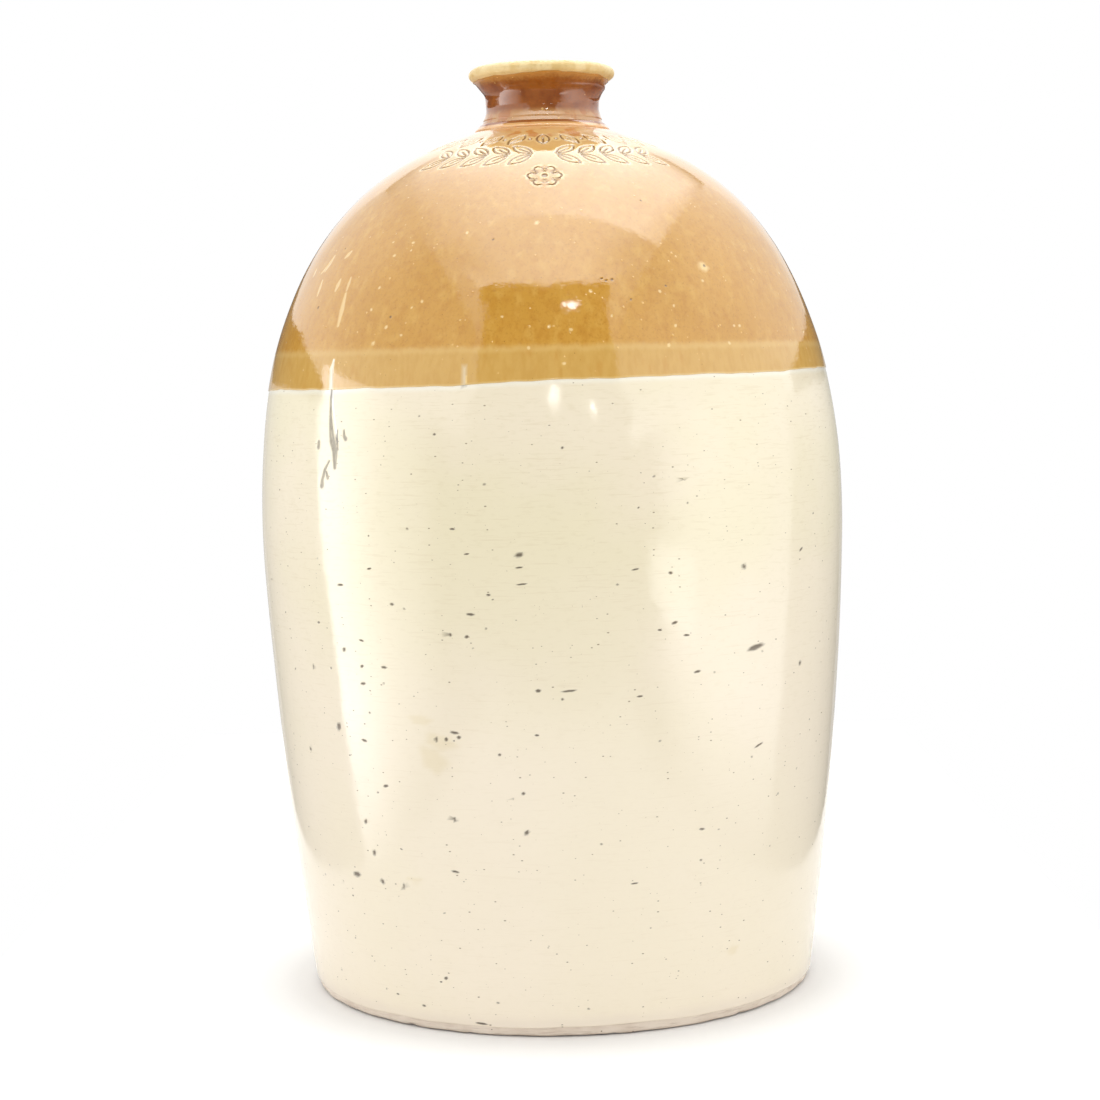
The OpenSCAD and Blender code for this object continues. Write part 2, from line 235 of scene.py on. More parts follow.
def srgb(red, green, blue):
    """A colour given as 0 to 255 screen numbers, in the linear numbers that a shader takes."""
    shares = (v / 255 for v in (red, green, blue))
    return tuple(v / 12.92 if v <= 0.04045 else ((v + 0.055) / 1.055) ** 2.4 for v in shares) + (1.0,)


def bell(share):
    """1 in the middle, falling smoothly to 0 where share reaches 1."""
    return np.clip(1 - share * share, 0, 1) ** 2


def ramp(value, start, end):
    """0 at start and 1 at end, smooth in between."""
    share = np.clip((value - start) / (end - start), 0, 1)
    return share * share * (3 - 2 * share)


def section(node):
    """Radius and height round a turned node's section, anticlockwise, read along its seam."""
    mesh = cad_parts[node].data
    spots = {
        v.index: (round(v.co.x, 7), round(v.co.z, 7))
        for v in mesh.vertices
        if abs(v.co.y) < SAME_SPOT and v.co.x > -SAME_SPOT
    }
    links = {}
    for edge in mesh.edges:
        a, b = (spots.get(i) for i in edge.vertices)
        if a and b and a != b:
            links.setdefault(a, set()).add(b)
            links.setdefault(b, set()).add(a)
    loose_ends = sorted((p for p in links if len(links[p]) == 1), key=lambda p: p[1])
    path = [loose_ends[0] if loose_ends else min(links, key=lambda p: (p[1], p[0]))]
    while True:
        onward = [p for p in links[path[-1]] if p not in path]
        if not onward:
            break
        path.append(max(onward))
    points = np.array(path)
    if loose_ends:
        points = np.vstack([[0, points[0, 1]], points, [0, points[-1, 1]]])
    r, z = points.T
    anticlockwise = np.sum(r * np.roll(z, -1) - z * np.roll(r, -1)) > 0
    return points if anticlockwise else points[::-1]


def corner_at(points, height):
    """Index of the outermost point at a height."""
    level = np.abs(points[:, 1] - height) < SAME_SPOT
    return int(np.argmax(np.where(level, points[:, 0], -1)))


def stretch(points, first, last):
    """Points from one index to another, going on round the section."""
    return np.roll(points, -first, axis=0)[: (last - first) % len(points) + 1]


def smooth_path(points, step, closed=False):
    """A dense path on a smooth curve through the points, with its true corners kept."""
    if closed:
        points = np.vstack([points, points[:1]])
    keep = np.linalg.norm(np.diff(points, axis=0), axis=1) > 1e-6
    points = np.vstack([points[:-1][keep], points[-1:]])
    runs = np.diff(points, axis=0)
    lengths = np.linalg.norm(runs, axis=1)
    units = runs / lengths[:, None]
    leave, arrive = units.copy(), units.copy()
    pairs = [(i, i + 1) for i in range(len(units) - 1)]
    if closed:
        pairs.append((len(units) - 1, 0))
    for a, b in pairs:
        if np.dot(units[a], units[b]) > STRAIGHT_COS:
            way = units[a] * lengths[b] + units[b] * lengths[a]
            arrive[a] = leave[b] = way / np.linalg.norm(way)
    dense = []
    for i, length in enumerate(lengths):
        count = max(1, math.ceil(length / step))
        t = np.arange(count)[:, None] / count
        dense.append(
            (2 * t**3 - 3 * t**2 + 1) * points[i] + (t**3 - 2 * t**2 + t) * length * leave[i]
            + (3 * t**2 - 2 * t**3) * points[i + 1] + (t**3 - t**2) * length * arrive[i]
        )
    return np.vstack(dense + [points[-1:]])


def lengths_along(points):
    """Distance from the first point to each point of a path."""
    return np.concatenate([[0], np.cumsum(np.linalg.norm(np.diff(points, axis=0), axis=1))])


def without_flats(points):
    """The points without those in the middle of a straight run, which would make a smooth curve ripple."""
    runs = np.diff(points, axis=0)
    runs /= np.linalg.norm(runs, axis=1)[:, None]
    bend = np.abs(runs[:-1, 0] * runs[1:, 1] - runs[:-1, 1] * runs[1:, 0])
    return points[np.concatenate([[True], bend > math.radians(0.05), [True]])]


def softened(points, reach):
    """The same path with every point moved to the mean of its neighbours within reach, by index."""
    window = np.ones(2 * reach + 1) / (2 * reach + 1)
    padded = np.pad(points, ((reach, reach), (0, 0)), "reflect", reflect_type="odd")
    return np.stack([np.convolve(padded[:, axis], window, "valid") for axis in (0, 1)], 1)


def clay_outline():
    """Outside of the clay from the table to the top of the lip."""
    lower, dome, neck = (section(n) for n in ("lower_body", "shoulder_dome", "neck_ring"))
    curve = without_flats(stretch(dome, corner_at(dome, GIRTH_H), corner_at(dome, NECK_FOOT_H)))
    return np.vstack([
        stretch(lower, corner_at(lower, 0), corner_at(lower, GIRTH_H)),
        softened(softened(smooth_path(curve, SKIN_STEP), DOME_SOFTENING), DOME_SOFTENING),
        stretch(neck, corner_at(neck, NECK_FOOT_H), corner_at(neck, LIP_TOP_H)),
    ])


def outline_normals(points):
    """Outward normals of a dense path, softened over its next points."""
    way = np.gradient(points, axis=0)
    normals = np.stack([way[:, 1], -way[:, 0]], 1)
    normals /= np.linalg.norm(normals, axis=1)[:, None]
    for axis in (0, 1):
        normals[1:-1, axis] = np.convolve(normals[:, axis], np.ones(3) / 3, "valid")
    return normals / np.linalg.norm(normals, axis=1)[:, None]


# The clay's outer skin as a dense path, with the distance, normal and hollowness at each of its points
SKIN = smooth_path(clay_outline(), SKIN_STEP)
SKIN_AT = lengths_along(SKIN)
SKIN_NORMAL = outline_normals(SKIN)
SKIN_HOLLOW = np.sum((softened(SKIN, HOLLOW_REACH) - SKIN) * SKIN_NORMAL, axis=1)
NECK_INDEX = int(np.argmax(SKIN[:, 1] >= NECK_FOOT_H - 1 * MM))


def along_at(height):
    """Distance along the skin at which it reaches a height."""
    return float(np.interp(height, SKIN[:, 1], SKIN_AT))


def on_skin(along, out):
    """Radius and height of places along the skin, moved outwards from the clay."""
    r, z = (np.interp(along, SKIN_AT, SKIN[:, axis]) for axis in (0, 1))
    normal_r, normal_z = (np.interp(along, SKIN_AT, SKIN_NORMAL[:, axis]) for axis in (0, 1))
    return r + normal_r * out, z + normal_z * out


def wander(height):
    """Sideways shift of the axis at a height."""
    return np.interp(height, *WANDER)


def seen_at(pixel_x, pixel_y):
    """Turn from the front and distance along the skin of what the photograph shows at a pixel."""
    half = SENSOR_W / LENS / 2
    middle = PHOTO_SIZE / 2
    aim = CAMERA_TURN @ Vector(((pixel_x / middle - 1) * half, (1 - pixel_y / middle) * half, -1))
    spots = np.array(CAMERA_PLACE) + SIGHT_STEPS[:, None] * np.array(aim)
    x, y, z = spots[:, 0] - wander(spots[:, 2]), spots[:, 1], spots[:, 2]
    skin_r = np.interp(z, SKIN[:NECK_INDEX, 1], SKIN[:NECK_INDEX, 0])
    outside = np.hypot(x, y) - skin_r - CREAM_T
    hit = int(np.argmax(outside < 0)) if (outside < 0).any() else int(np.argmin(outside))
    return math.atan2(x[hit], -y[hit]), along_at(z[hit])


def mark(turn, along, share, reach, fine, edge, depth=0.0, halo=0.0, **tones):
    """A mark on the skin. share is 0 in its middle, 1 at its edge, and 1 more per edge width past it."""
    radius = float(np.interp(along, SKIN_AT, SKIN[:, 0]))
    return dict(
        turn=turn, along=along, radius=radius, share=share, reach=reach, fine=fine, edge=edge,
        depth=depth, halo=halo, tones=tones,
    )


def oval(half_long, half_wide, tilt=0.0, rough=0.0, phase=0.0):
    """Shape of a tilted oval, with an uneven edge if rough isn't 0."""
    cos, sin = math.cos(tilt), math.sin(tilt)

    def share(u, v):
        long, wide = (u * cos + v * sin) / half_long, (v * cos - u * sin) / half_wide
        around = np.arctan2(wide, long)
        edge = 1 + rough * (np.sin(2 * around + phase) + 0.6 * np.sin(5 * around + 2 * phase))
        return np.hypot(long, wide) * edge

    return share


def strokes(points):
    """Shape of a line through points, each with its own half width."""

    def share(u, v):
        best = np.full(np.shape(u), 9.0)
        for (u0, v0, w0), (u1, v1, w1) in zip(points, points[1:]):
            run = max((u1 - u0) ** 2 + (v1 - v0) ** 2, 1e-12)
            t = np.clip(((u - u0) * (u1 - u0) + (v - v0) * (v1 - v0)) / run, 0, 1)
            gap = np.hypot(u - u0 - t * (u1 - u0), v - v0 - t * (v1 - v0))
            best = np.minimum(best, gap / (w0 + t * (w1 - w0)))
        return best

    return share


def leaf(half_long, half_wide, tilt):
    """Shape of a leaf drawn by its outline and midrib."""
    cos, sin = math.cos(tilt), math.sin(tilt)

    def share(u, v):
        long, wide = u * sin + v * cos, np.abs(u * cos - v * sin)
        inside = np.clip(long / half_long, -1, 1)
        slope = np.hypot(1, 2 * inside * half_wide / half_long)
        edge = np.abs(wide - half_wide * (1 - inside**2)) / slope
        rib_gap = np.hypot(wide, np.maximum(np.abs(long + 0.25 * half_long) - 0.5 * half_long, 0))
        past = np.maximum(np.abs(long) - half_long, 0)
        return np.minimum(np.hypot(edge, past), rib_gap) / STROKE

    return share


def rosette(radius, petals):
    """Shape of a ring of petals round a dot."""

    def share(u, v):
        far, angle = np.hypot(u, v), np.arctan2(v, u)
        outline = radius * (0.45 + 0.55 * np.abs(np.cos(angle * petals / 2)) ** 0.7)
        return np.minimum(np.abs(far - outline), np.maximum(far - 0.12 * radius, 0)) / STROKE

    return share


def pressed(marks, turn, along):
    """How deep the marks lie at each place, and how strong each tone is there."""
    found = {name: np.zeros_like(turn) for name in ("depth",) + TONES}
    for m in marks:
        u, v = (turn - m["turn"]) * m["radius"], along - m["along"]
        near = np.flatnonzero((np.abs(u) < m["reach"]) & (np.abs(v) < m["reach"]))
        if not len(near):
            continue
        share = m["share"](u[near], v[near])
        found["depth"][near] += m["depth"] * bell(share)
        # Painted highlight: a pale rim round the mark's edge, laid into its pale tone.
        found["pale"][near] = np.maximum(found["pale"][near], m["halo"] * bell((share - 1.8) / 1.1))
        for tone, strength in m["tones"].items():
            found[tone][near] = np.maximum(found[tone][near], strength * ramp(share, 1.2, 0.6))
    return found


def pit(x, y, long, wide, tilt, phase):
    """A dark pit in the cream glaze, as the photograph shows it."""
    turn, along = seen_at(x, y)
    half_long, half_wide = long * PIXEL / 2 / max(math.cos(turn), 0.4), wide * PIXEL / 2
    half_wide = max(half_wide, 0.45 * MM)
    shape = oval(half_long, half_wide, math.radians(tilt), 0.1, phase)
    reach = 1.5 * max(half_long, half_wide)
    return mark(turn, along, shape, reach, half_wide / 1.5, half_wide, depth=0.35 * MM, dark=0.85)


def scratch(points_px, depth, **tones):
    """A line through the glaze, as the photograph shows it."""
    turn, along = seen_at(*points_px[len(points_px) // 2][:2])
    radius = float(np.interp(along, SKIN_AT, SKIN[:, 0]))
    places = []
    for x, y, width in points_px:
        t, s = seen_at(x, y)
        places.append(((t - turn) * radius, s - along, width * PIXEL / 2 / max(math.cos(turn), 0.6)))
    reach = max(max(abs(u), abs(v)) for u, v, w in places) + 3 * MM
    return mark(turn, along, strokes(places), reach, 0.45 * MM, 0.8 * MM, depth=depth, **tones)


def round_spot(turn, along, half, phase, cells, depth, **tones):
    """A small round mark whose half width takes a number of the finest cells."""
    return mark(turn, along, oval(half, half, 0, 0.1, phase), 2 * half, half / cells, half, depth, **tones)


def side_turn(chance):
    """A turn that the photograph's view doesn't reach."""
    return chance.choice((-1, 1)) * chance.uniform(SIDE_START, math.pi)


def cream_marks():
    """Pits and stains of the cream glaze."""
    chance = random.Random(5)
    marks = [pit(*row, phase=chance.uniform(0, 6)) for row in CREAM_PITS_PX]
    for x, y, long, wide in CREAM_STAINS_PX:
        turn, along = seen_at(x, y)
        shape = oval(long * PIXEL / 2, wide * PIXEL / 2, 0, 0.2, x)
        marks.append(mark(turn, along, shape, long * PIXEL, 2 * MM, 2 * MM, stain=0.2))
    low, high = along_at(BARE_FOOT_H) + 8 * MM, along_at(DIP_LINE_H) - 14 * MM
    for i in range(SIDE_PITS + SMALL_PITS):
        small = i >= SIDE_PITS
        turn = chance.uniform(-math.pi, math.pi) if small else side_turn(chance)
        half_long = chance.uniform(0.4, 0.8) * MM if small else chance.uniform(0.7, 2.3) * MM
        half_wide = chance.uniform(0.35, 0.6) * MM
        shape = oval(half_long, half_wide, chance.gauss(0.05, 0.25), 0.1, chance.uniform(0, 6))
        along, darkness = chance.uniform(low, high), chance.uniform(0.4, 0.85)
        reach = 1.5 * half_long + 0.5 * MM
        marks.append(mark(turn, along, shape, reach, half_wide / 1.2, half_wide, 0.3 * MM, dark=darkness))
    return marks


def shared_marks():
    """Marks that run through both glazes."""
    marks = [scratch(points, 0.35 * MM, grey=0.85) for points in SCRATCHES_PX]
    # The score's pale is partly its own colour and partly a painted highlight.
    marks.append(scratch(SCORE_PX, 0.2 * MM, pale=1.0, score=1.0))
    # The nick gets a painted highlight as a pale rim round it.
    return marks + [scratch(NICK_PX, 0.3 * MM, grey=0.8, halo=1.0)]


def stamps():
    """Impressed ornament: a garland of leaves and dots, two sprigs and a rosette."""
    neck = along_at(NECK_FOOT_H)
    # The pressed marks get a painted highlight as a pale rim round their edges.
    pressing = dict(edge=STROKE, depth=STAMP_DEPTH, dark=0.72, halo=0.9)
    marks = []
    for i in range(-GARLAND_STEPS, GARLAND_STEPS + 1):
        turn = GARLAND_SPREAD * i / GARLAND_STEPS
        shape = leaf(7.2 * MM, 3.0 * MM, 0.4 * (1 if i < 0 else -1 if i > 0 else 0))
        marks.append(mark(turn, neck - GARLAND_DOWN, shape, 9 * MM, FINE_CELL, **pressing))
        if i < GARLAND_STEPS:
            between, dot = turn + GARLAND_SPREAD / GARLAND_STEPS / 2, oval(1.0 * MM, 1.6 * MM)
            marks.append(mark(between, neck - GARLAND_DOWN, dot, 4 * MM, FINE_CELL, **pressing))
    for side in (-1, 1):
        for i in range(SPRIG_LEAVES):
            turn = side * (SPRIG_START + (SPRIG_END - SPRIG_START) * i / (SPRIG_LEAVES - 1))
            for lift in (-1, 1):
                shape = leaf(6.6 * MM, 2.8 * MM, side * (math.pi / 2 - lift * 0.75))
                along = neck - SPRIG_DOWN + lift * 5.0 * MM
                marks.append(mark(turn + side * 0.03, along, shape, 9 * MM, FINE_CELL, **pressing))
    flower = rosette(ROSETTE_R, ROSETTE_PETALS)
    return marks + [mark(0, neck - ROSETTE_DOWN, flower, 10 * MM, FINE_CELL, **pressing)]


def ochre_marks():
    """Spots, drag marks, pits and ornament of the ochre glaze."""
    chance = random.Random(8)
    marks = stamps()
    for table, depth, tones in ((OCHRE_SPOTS_PX, 0.12, {"pale": 0.9}), (OCHRE_PITS_PX, 0.3, {"dark": 0.8})):
        for x, y, across in table:
            marks.append(round_spot(*seen_at(x, y), across * PIXEL / 2, x, 1.5, depth * MM, **tones))
    for x0, y0, x1, y1, width in OCHRE_DRAGS_PX:
        middle = ((x0 + x1) / 2, (y0 + y1) / 2, width)
        marks.append(scratch(((x0, y0, width / 2), middle, (x1, y1, width / 2)), 0.08 * MM, pale=0.75))
    low, high = along_at(DIP_LINE_H) + 5 * MM, along_at(NECK_FOOT_H) - 12 * MM
    for i in range(SIDE_SPOTS):
        turn, half = side_turn(chance), chance.uniform(0.6, 1.0) * MM
        marks.append(round_spot(turn, chance.uniform(low, high), half, i, 1.2, 0.12 * MM, pale=0.9))
    return marks


def place(turn, r, z):
    """Points of the flagon from turn, radius and height, with the strays of a hand-turned shape."""
    out_of_round = 1 - OVAL_SHARE * (0.5 + 0.5 * np.cos(2 * turn + 0.8))
    ripple = THROW_RIPPLE * (1 + np.sin(2 * math.pi * z / THROW_PITCH + turn))
    r = r * out_of_round - ripple * ramp(r, 0, 40 * MM)
    tuck = MM * sum(depth * bell((z / MM - height) / reach) for height, reach, depth in NECK_TUCKS)
    r = r - tuck * ramp(r, *TUCK_FADE)
    z = np.maximum(z - LIP_SINK * ramp(z, NECK_FOOT_H + 5 * MM, LIP_TOP_H), 0)
    return np.stack([r * np.sin(turn) + wander(z), -r * np.cos(turn), z], 1)


def rows_along(at, spacing, keys):
    """Places of a grid's rows on a path, at about the given spacing, with every key place kept."""
    need = np.concatenate([[0], np.cumsum(np.diff(at) / ((spacing[1:] + spacing[:-1]) / 2))])
    rows = np.interp(np.arange(math.ceil(need[-1]) + 1) * need[-1] / math.ceil(need[-1]), need, at)
    to_key = np.min(np.abs(rows[:, None] - np.array(keys)), axis=1)
    clear = to_key >= 0.4 * np.interp(rows, at, spacing)
    return np.unique(np.round(np.concatenate([rows[clear], keys]), 8))


def halve_at_marks(grid, marks, along_of, hidden_of):
    """Splits the grid's cells again and again until they are small enough for the marks."""
    if not marks:
        return
    for level in range(MOST_HALVINGS):
        flat = np.array([v.co[:2] for v in grid.verts])
        along = along_of(flat[:, 1])
        wanted = np.zeros(len(flat), bool)
        for m in marks:
            cell = 2 * math.pi * m["radius"] / COLUMNS / 2**level
            if cell < 1.3 * m["fine"]:
                continue
            u, v = (flat[:, 0] - m["turn"]) * m["radius"], along - m["along"]
            reach = m["reach"] + cell
            near = np.flatnonzero((np.abs(u) < reach) & (np.abs(v) < reach))
            past = (m["share"](u[near], v[near]) - 1.2) * m["edge"]
            wanted[near[past < 1.1 * cell]] = True
        wanted &= ~hidden_of(flat[:, 1])
        grid.verts.index_update()
        edges = [e for e in grid.edges if wanted[e.verts[0].index] and wanted[e.verts[1].index]]
        if edges:
            bmesh.ops.subdivide_edges(grid, edges=edges, cuts=1, use_grid_fill=True)


def new_object(name, data):
    """A new object, put in the scene."""
    added = bpy.data.objects.new(name, data)
    bpy.context.scene.collection.objects.link(added)
    return added


def turned(name, rows, shape, marks=(), along_of=None, hidden_of=None, texture_rows=None, columns=COLUMNS):
    """A piece turned round the axis: a grid of turns and rows, halved at its marks and wrapped by shape."""
    grid = bmesh.new()
    turns = np.linspace(-math.pi, math.pi, columns + 1)
    lines = [[grid.verts.new((turn, row, 0)) for turn in turns] for row in rows]
    for low, high in zip(lines, lines[1:]):
        for i in range(columns):
            grid.faces.new((low[i], low[i + 1], high[i + 1], high[i]))
    halve_at_marks(grid, marks, along_of, hidden_of)
    flat = np.array([v.co[:2] for v in grid.verts])
    texture_v = texture_rows(flat[:, 1]) if texture_rows else flat[:, 1] / rows[-1]
    grid.verts.index_update()
    texture = grid.loops.layers.uv.new("OFBake")
    for face in grid.faces:
        for loop in face.loops:
            i = loop.vert.index
            loop[texture].uv = (flat[i, 0] / (2 * math.pi) + 0.5, texture_v[i])
    points, tones = shape(flat[:, 0], flat[:, 1])
    layers = {tone: grid.verts.layers.float.new(tone) for tone in tones}
    for vertex, point in zip(grid.verts, points):
        vertex.co = point
    for tone, values in tones.items():
        for vertex, value in zip(grid.verts, values):
            vertex[layers[tone]] = value
    bmesh.ops.remove_doubles(grid, verts=grid.verts, dist=SAME_SPOT)
    bmesh.ops.triangulate(grid, faces=[f for f in grid.faces if len(f.verts) > 4])
    bmesh.ops.recalc_face_normals(grid, faces=grid.faces)
    mesh = bpy.data.meshes.new(name)
    grid.to_mesh(mesh)
    grid.free()
    mesh.polygons.foreach_set("use_smooth", [True] * len(mesh.polygons))
    mesh.set_sharp_from_angle(angle=SHARP_ANGLE)
    return new_object(name, mesh)


def rounded(corners, radius):
    """A closed outline with its true corners rounded by short curves."""
    points = []
    for i, corner in enumerate(corners):
        before, after = corners[i - 1] - corner, corners[(i + 1) % len(corners)] - corner
        sizes = np.linalg.norm(before) * np.linalg.norm(after)
        if before @ after < -STRAIGHT_COS * sizes:
            points.append(corner)
            continue
        for t in np.linspace(0, 1, 4):
            start = corner + before * min(radius / np.linalg.norm(before), 0.45)
            end = corner + after * min(radius / np.linalg.norm(after), 0.45)
            points.append((1 - t) ** 2 * start + 2 * t * (1 - t) * corner + t * t * end)
    return np.array(points)


def coat(name, corners, spacing_of, marks, low_shift, high_shift, shift_fade, dip=None):
    """A glaze coat. Its corners lie along the skin and out of it, anticlockwise from the low outer one."""
    corners = [np.array(c, float) for c in corners]
    path = rounded(corners, COAT_EDGE_ROUND)
    path = np.vstack([path, path[:1]])
    at = lengths_along(path)
    dense_at = np.arange(0, at[-1], SKIN_STEP)
    spacing = spacing_of(np.interp(dense_at, at, path[:, 0]), np.interp(dense_at, at, path[:, 1]))
    rows = rows_along(dense_at, spacing, at)
    low, high = corners[0][0], max(c[0] for c in corners)

    def along_of(p):
        return np.interp(p, at, path[:, 0])

    def out_of(p):
        return np.interp(p, at, path[:, 1])

    def shape(turn, p):
        along, out = along_of(p), out_of(p)
        tones = {"from_low": (along - low) / MM, "from_high": (high - along) / MM}
        along = along + low_shift(turn) * ramp(along, low + shift_fade[0], low)
        along = along + high_shift(turn) * ramp(along, high - shift_fade[1], high)
        if dip:
            tones["from_dip"] = (dip + dip_edge(turn) - along) / MM
        found = pressed(marks, turn, along)
        out = out - found.pop("depth") * (out > LAP)
        r, z = on_skin(along, out)
        tones["hollow"] = np.interp(along, SKIN_AT, SKIN_HOLLOW) / MM
        return place(turn, r, z), {**tones, **found}

    weight = np.where(out_of(dense_at) > LAP, 1.0, UNSEEN_TEXTURE)
    spread = np.concatenate([[0], np.cumsum(weight)])[:-1]

    def texture_rows(p):
        return np.interp(p, dense_at, spread / spread[-1])

    return turned(name, rows, shape, marks, along_of, lambda p: out_of(p) < LAP, texture_rows)


def cream_foot_edge(turn):
    """How far the lower edge of the cream glaze strays along the skin."""
    return MM * (0.35 * np.sin(3 * turn + 0.6) + 0.25 * np.sin(8 * turn) + 0.15 * np.sin(19 * turn + 2))


def dip_edge(turn):
    """How far the dip line strays: it is level on no side, because the flagon was dipped at a slant."""
    slant = 3.0 * np.sin(turn)
    broad = 0.3 * np.sin(5 * turn + 1) + 0.2 * np.sin(11 * turn + 2)
    fine = 0.12 * np.sin(26 * turn) + 0.1 * np.sin(47 * turn + 0.5) + 0.07 * np.sin(71 * turn + 3)
    return MM * (slant + broad + fine)


def lip_edge(turn):
    """How far the upper edge of the ochre glaze strays under the lip."""
    broad = 1.2 * np.cos(turn) - 0.2 + 0.3 * np.sin(3 * turn + 0.5)
    fine = 0.2 * np.sin(7 * turn + 1) + 0.12 * np.sin(15 * turn) + 0.06 * np.sin(27 * turn + 2)
    return MM * (broad + fine)


def no_shift(turn):
    """For an edge that runs level."""
    return np.zeros_like(turn)


def make_cream_coat():
    low, high = along_at(BARE_FOOT_H), along_at(CREAM_TOP_H)
    corners = ((low, CREAM_T), (high, CREAM_T), (high, -COAT_ROOT), (low, -COAT_ROOT))

    def spacing(along, out):
        return np.where(out > LAP, np.where(along < low + 6 * MM, 1.0 * MM, 2.6 * MM), 9 * MM)

    marks = cream_marks() + shared_marks()
    dip = along_at(DIP_LINE_H)
    return coat("cream_coat", corners, spacing, marks, cream_foot_edge, no_shift, (12 * MM, 1 * MM), dip)


def make_ochre_coat():
    dip, cream_top, neck, lip = (along_at(h) for h in (DIP_LINE_H, CREAM_TOP_H, NECK_FOOT_H, OCHRE_TOP_H))
    over_cream = CREAM_T + OCHRE_T
    settling = [(cream_top + SETTLE * t, OCHRE_T + CREAM_T * (1 - t) ** 2) for t in np.linspace(0, 1, 13)]
    corners = (
        (dip, over_cream), *settling, (lip, OCHRE_T), (lip, -NECK_ROOT), (neck, -NECK_ROOT),
        (neck - ROOT_FADE, -COAT_ROOT), (cream_top, -COAT_ROOT), (cream_top, CREAM_T - LAP),
        (dip, CREAM_T - LAP),
    )

    def spacing(along, out):
        outer = np.where(along < dip + 5 * MM, 0.8 * MM, np.interp(
            along, (dip, neck - 30 * MM, neck - 5 * MM, neck - 3 * MM, neck + 9 * MM, neck + 12 * MM, lip),
            np.array((2.6, 1.8, 1.2, 0.3, 0.3, 0.9, 0.6)) * MM))
        return np.where(out > CREAM_T - 2 * LAP, outer, np.where(out > 0, np.where(
            along > cream_top, outer, 6 * MM), 8 * MM))

    marks = ochre_marks() + shared_marks()
    return coat("ochre_coat", corners, spacing, marks, dip_edge, lip_edge, (14 * MM, 9 * MM))


def solid(name, points, closed, spacing_of, dent=None, columns=COLUMNS):
    """A turned solid from the points of its section. dent gives how far each place is pushed in."""
    path = smooth_path(points, SKIN_STEP, closed)
    at = lengths_along(path)
    normal = outline_normals(path)
    nearest = [int(np.argmin(np.linalg.norm(path - p, axis=1))) for p in sharp_points(points, closed)]
    keys = [0.0, at[-1], *at[nearest]]
    rows = rows_along(at, spacing_of(path[:, 0], path[:, 1]), keys)

    def shape(turn, p):
        r, z = (np.interp(p, at, path[:, axis]) for axis in (0, 1))
        if dent:
            push = dent(turn, r, z)
            r = r - push * np.interp(p, at, normal[:, 0])
            z = z - push * np.interp(p, at, normal[:, 1])
        return place(turn, np.maximum(r, 0), z), {}

    return turned(name, rows, shape, columns=columns)


def sharp_points(points, closed):
    """The true corners of a section."""
    around = np.vstack([points[-1:], points, points[:1]])
    before, after = around[1:-1] - around[:-2], around[2:] - around[1:-1]
    size = np.linalg.norm(before, axis=1) * np.linalg.norm(after, axis=1)
    turning = np.sum(before * after, axis=1) < STRAIGHT_COS * size
    if not closed:
        turning[[0, -1]] = False
    return points[turning]


def spaced_skin(start, end, out_start, out_end, step=4 * MM):
    """Points along the skin at an even step, at a depth that may change from one end to the other."""
    along = np.linspace(start, end, max(2, math.ceil((end - start) / step)))
    return np.stack(on_skin(along, np.linspace(out_start, out_end, len(along))), 1)


def foot_dent(turn, r, z):
    """Chips and rubbed places round the bare foot."""
    outside = ramp(r, 118 * MM, 122 * MM) * ramp(z, 9 * MM, 6 * MM)
    wear = 0.12 * np.sin(7 * turn + 1) + 0.1 * np.sin(23 * turn) + 0.1 * np.sin(41 * turn + 2) + 0.3
    chips = sum(bell((turn - middle) * 125 / half) * deep for middle, half, deep in FOOT_CHIPS)
    return MM * outside * (wear + chips * ramp(z, 3.5 * MM, 0.5 * MM))


def make_lower_clay():
    points = section("lower_body")
    foot, girth = corner_at(points, 0), corner_at(points, GIRTH_H)
    bare, top = along_at(BARE_FOOT_H), along_at(GIRTH_H)
    outside = np.vstack([
        spaced_skin(0, bare + 1.5 * MM, 0, 0, 0.8 * MM),
        spaced_skin(bare + 1.7 * MM, top, -COAT_ROOT, -COAT_ROOT),
    ])
    points = np.vstack([points[:foot], outside, points[girth + 1:]])

    def spacing(r, z):
        near_foot = (z < BARE_FOOT_H + 3 * MM) & (r > 100 * MM)
        return np.where(near_foot, 0.8 * MM, 9 * MM)

    return solid("lower_clay", points, False, spacing, foot_dent)


def make_dome_clay():
    points = section("shoulder_dome")
    girth, neck = corner_at(points, GIRTH_H), corner_at(points, NECK_FOOT_H)
    start, end = along_at(GIRTH_H), along_at(NECK_FOOT_H)
    outside = np.vstack([
        spaced_skin(start, end - ROOT_FADE, -COAT_ROOT, -COAT_ROOT),
        spaced_skin(end - ROOT_FADE, end, -COAT_ROOT, -NECK_ROOT, 1 * MM)[1:],
    ])
    inside = stretch(points, neck + 1, (girth - 1) % len(points))
    return solid("dome_clay", np.vstack([outside, inside]), True, lambda r, z: np.full(len(r), 8 * MM))


def make_neck_clay():
    def spacing(r, z):
        shown = z > OCHRE_TOP_H - 5 * MM
        return np.where(shown, 0.6 * MM, 2.5 * MM)

    def dent(turn, r, z):
        shown = ramp(z, OCHRE_TOP_H - 3 * MM, OCHRE_TOP_H)
        return MM * shown * (0.12 + 0.08 * np.sin(5 * turn + 2) + 0.03 * np.sin(13 * turn))

    return solid("neck_clay", section("neck_ring"), True, spacing, dent)


